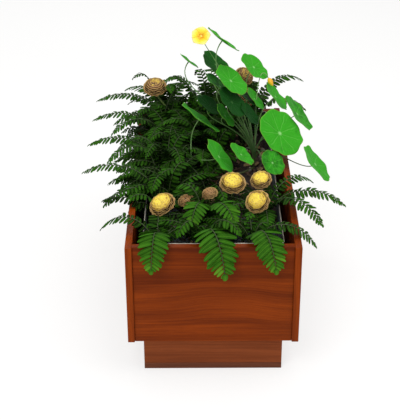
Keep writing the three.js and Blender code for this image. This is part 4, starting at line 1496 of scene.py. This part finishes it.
class TROUGH_OT_flower_heads(Builder):
    """Makes the golden double flower heads on their stalks."""

    bl_idname = "trough.flower_heads"
    bl_label = "Flower heads"

    def head(self, skin, centre, normal, radius, age_and_shade=0.0):
        """Rings of petals on egg-shaped shells, one inside the other, round a closed dome.

        A petal runs up its shell from the underside to a lip whose angle from the axis shrinks from
        112 to 0 degrees ring by ring, slowly at first; its width follows the sine of its length, and
        its lip is ruffled and rolls out. Inner petals, which sit on top, are painted yellower as if lit
        from above, and the outer, lower ones tan as if in shade. The last argument, from 0 to 1, browns
        them all: spent heads as they wither, and the heads at the back as painted shade.
        """
        look, rng = self.look, self.rng
        side, up = frame_of(normal)
        tall = radius * HEAD_HEIGHT
        u = np.linspace(0, 1, 11)[:, None]
        v = np.linspace(-1, 1, 13)[None]
        numbers = np.round(np.linspace(7, 3, look.layers)).astype(int)
        for k, number in enumerate(numbers):
            inward = k / max(1, look.layers - 1)
            shell = 0.98 - 0.3 * inward
            lip = np.radians(112 - 112 * inward**1.1)
            polar = np.pi * 0.86 + (lip - np.pi * 0.86) * u
            start = rng.uniform(0, 6.28)
            for j in range(number):
                at = start + 2 * np.pi * j / number + rng.normal(0, 0.06)
                swell = 0.35 + 0.65 * np.sin(np.pi * np.clip(u * 0.62 + 0.06, 0, 1))
                turn = at + v * ((np.pi / number) * 1.5 * swell)
                waves = np.sin(v * (6 + k % 2) + rng.uniform(0, 6.28))
                roll = (0.1 * u**8 - 0.06 * v**2 * u**2) * (1 - inward)
                ruffle = look.ruffle * (1 - 0.6 * inward) * u**3 * waves + roll
                out = shell * np.sin(polar) * (1 + ruffle) + 0.07 * u**10 * (1 - inward)
                dip = 1 - 0.1 * v**2 * u**3 + 0.5 * ruffle
                high = (1.0 - 0.05 * inward) * np.cos(polar) * dip + 0.04 * np.cos(v * 9 + j) * u**6
                around = np.cos(turn)[..., None] * side + np.sin(turn)[..., None] * up
                points = centre + radius * out[..., None] * around + tall * high[..., None] * normal
                # Painted light: inner, upper petals get a higher tint and are painted yellower as if lit
                # from above; the last term browns them all.
                skin.petal(points, u, v, inward * (1 - age_and_shade) + rng.normal(0, 0.1))

    def spent(self, finishes):
        """Small brown heads that stand lower, in a row between the two front heads on the left."""
        first, face, radius = head_frame("flower_head_front_left")
        last = head_frame("flower_head_front_middle")[0]
        soil_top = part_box("soil")[1][2]
        number = self.look.spent
        skin = Skin()
        for k in range(number):
            centre = first + (last - first) * (k + 1) / (number + 1) - [0, 0, 0.35 * radius]
            self.head(skin, centre, unit(face + [0, 0, 1.0]), radius * 0.62, age_and_shade=1.0)
            foot, neck = [centre[0], centre[1] + 0.01, soil_top], centre - [0, 0, 0.3 * radius]
            skin.tube(np.linspace(foot, neck, 12), 1.6 * MM, [1.0, 0, 0], sides=8, finish=1)
        body = body_name("flower_head_front_left")
        skin.make("flower-heads-spent", finishes, body, "double_petal", wall=0.5 * MM)

    def build(self, scene):
        look = self.look = scene.trough_heads
        self.rng = np.random.default_rng(look.seed)
        finishes = [double_finish(look), calyx_finish()]
        for node in nodes_named("flower_head_"):
            centre, normal, radius = head_frame(node)
            side = frame_of(normal)[0]
            points = node_points(node)
            foot = points[points[:, 2] < points[:, 2].min() + 0.5 * MM].mean(axis=0)
            skin = Skin()
            # Painted shade: the heads at the back are browned as if in shade.
            self.head(skin, centre, normal, radius, look.fade if centre[1] > 0 else 0.0)
            neck = centre - normal * radius * 0.5
            drop = neck[2] - foot[2]
            control = [foot, foot + [0, 0, 0.5 * drop], neck - normal * 0.25 * drop, neck]
            path = bend(control, np.linspace(0, 1, 20))
            skin.tube(path, np.linspace(2.2, 1.9, 20) * MM, side, sides=8, finish=1)
            cup = neck + normal[None] * np.linspace(-6, 8, 7)[:, None] * MM
            flare = np.array([2.2, 4.5, 7, 9, 10.5, 11.5, 12]) * MM * radius / (30 * MM)
            skin.tube(cup, flare, side, sides=14, finish=1)
            skin.stand_in(node, finishes, "double_petal", wall=0.5 * MM)
        self.spent(finishes)


class TROUGH_OT_stage(Builder):
    """Sets out the pale floor, the soft lamps, the world and the camera."""

    bl_idname = "trough.stage"
    bl_label = "Stage"

    def floor(self, scene):
        """A round pale floor that looks a little lit from within."""
        f = Finish("pale floor")
        seen = f.node("ShaderNodeLightPath", output="Is Camera Ray")
        shiny = f.node("ShaderNodeLightPath", output="Is Glossy Ray")
        matt = f.node("ShaderNodeBsdfDiffuse", values={"Color": (*scene.trough_stage.floor, 1.0)})
        glow = f.node("ShaderNodeEmission", values={"Color": WHITE, "Strength": 1.05})
        mixed = f.node("ShaderNodeMixShader", values={0: (seen + shiny) * 0.66, 1: matt, 2: glow})
        f.node("ShaderNodeOutputMaterial", values={"Surface": mixed})
        turn = np.linspace(0, 2 * np.pi, 65)[:-1]
        edge = 12 * np.stack([np.cos(turn), np.sin(turn), 0 * turn], -1)
        mesh = bpy.data.meshes.new("floor")
        mesh.from_pydata(edge.tolist(), [], [list(range(len(edge)))])
        mesh.materials.append(f.owner)
        floor = bpy.data.objects.new("floor", mesh)
        scene.collection.objects.link(floor)

    def world(self, scene):
        """A white world, half as strong where the camera does not see it."""
        f = Finish("studio", "worlds")
        seen = f.node("ShaderNodeLightPath", output="Is Camera Ray")
        soft = f.node("ShaderNodeBackground", values={"Color": WHITE, "Strength": 0.5})
        bright = f.node("ShaderNodeBackground", values={"Color": WHITE, "Strength": 1.0})
        sky = f.node("ShaderNodeMixShader", values={0: seen, 1: soft, 2: bright})
        f.node("ShaderNodeOutputWorld", values={"Surface": sky})
        scene.world = f.owner

    def lamps(self, scene):
        """Soft square lamps around the trough, each one aimed at its middle."""
        middle = (np.array(CAD_BOX[0]) + np.array(CAD_BOX[1])) / 2
        for name, offset, width, power in (
            ("front lamp", (-1.1, -2.4, 2.2), 1.8, 46),
            ("top lamp", (0.4, -0.3, 2.9), 2.2, 40),
            ("right lamp", (2.4, -0.9, 1.6), 1.8, 18),
            ("back lamp", (-0.6, 2.6, 2.0), 2.0, 18),
        ):
            light = bpy.data.lights.new(name, "AREA")
            light.size, light.energy = width, power * scene.trough_stage.lamps
            lamp = bpy.data.objects.new(name, light)
            lamp.location = middle + offset
            lamp.rotation_mode = "QUATERNION"
            lamp.rotation_quaternion = Vector(-np.array(offset)).to_track_quat("-Z", "Y")
            scene.collection.objects.link(lamp)

    def camera(self, scene):
        """A long lens that looks down at the trough's front end."""
        look = scene.trough_stage
        lens = bpy.data.cameras.new("camera")
        lens.lens, lens.sensor_width, lens.sensor_fit = look.lens, 36, "AUTO"
        lens.clip_start, lens.clip_end = 0.05, 60
        camera = bpy.data.objects.new("camera", lens)
        turn = Matrix.Rotation(CAMERA_HEADING, 4, "Z") @ Matrix.Rotation(math.pi / 2 - look.pitch, 4, "X")
        roll = Matrix.Rotation(CAMERA_ROLL, 4, "Z")
        camera.matrix_world = Matrix.Translation(CAMERA_PLACE) @ turn @ roll
        scene.collection.objects.link(camera)
        scene.camera = camera

    def build(self, scene):
        self.floor(scene)
        self.world(scene)
        self.lamps(scene)
        self.camera(scene)
        scene.view_settings.view_transform = "Standard"


class TROUGH_PT_panel(bpy.types.Panel):
    """Lists the trough's makers in the sidebar."""

    bl_idname = "TROUGH_PT_panel"
    bl_label = "Planted Trough"
    bl_space_type = "VIEW_3D"
    bl_region_type = "UI"
    bl_category = "Trough"

    def draw(self, context):
        for maker in MAKERS:
            self.layout.operator(maker.bl_idname)


SETTINGS = {
    "trough_timber": TimberSettings,
    "trough_liner": LinerSettings,
    "trough_soil": SoilSettings,
    "trough_ferns": FernSettings,
    "trough_nasturtium": NasturtiumSettings,
    "trough_heads": HeadSettings,
    "trough_stage": StageSettings,
}
MAKERS = (
    TROUGH_OT_stage,
    TROUGH_OT_boards,
    TROUGH_OT_plinth,
    TROUGH_OT_carcase,
    TROUGH_OT_liner,
    TROUGH_OT_filling,
    TROUGH_OT_mulch,
    TROUGH_OT_ferns,
    TROUGH_OT_nasturtium,
    TROUGH_OT_flower_heads,
)


def register():
    for kind in (*SETTINGS.values(), *MAKERS, TROUGH_PT_panel):
        bpy.utils.register_class(kind)
    for name, kind in SETTINGS.items():
        setattr(bpy.types.Scene, name, PointerProperty(type=kind))


def unregister():
    for name in SETTINGS:
        delattr(bpy.types.Scene, name)
    for kind in reversed((*SETTINGS.values(), *MAKERS, TROUGH_PT_panel)):
        bpy.utils.unregister_class(kind)


def main():
    register()
    bpy.ops.trough.stage()
    bpy.ops.trough.boards()
    bpy.ops.trough.plinth()
    bpy.ops.trough.carcase()
    bpy.ops.trough.liner()
    bpy.ops.trough.filling()
    bpy.ops.trough.mulch()
    bpy.ops.trough.ferns()
    bpy.ops.trough.nasturtium()
    bpy.ops.trough.flower_heads()
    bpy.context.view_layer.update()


if __name__ == "__main__":
    main()
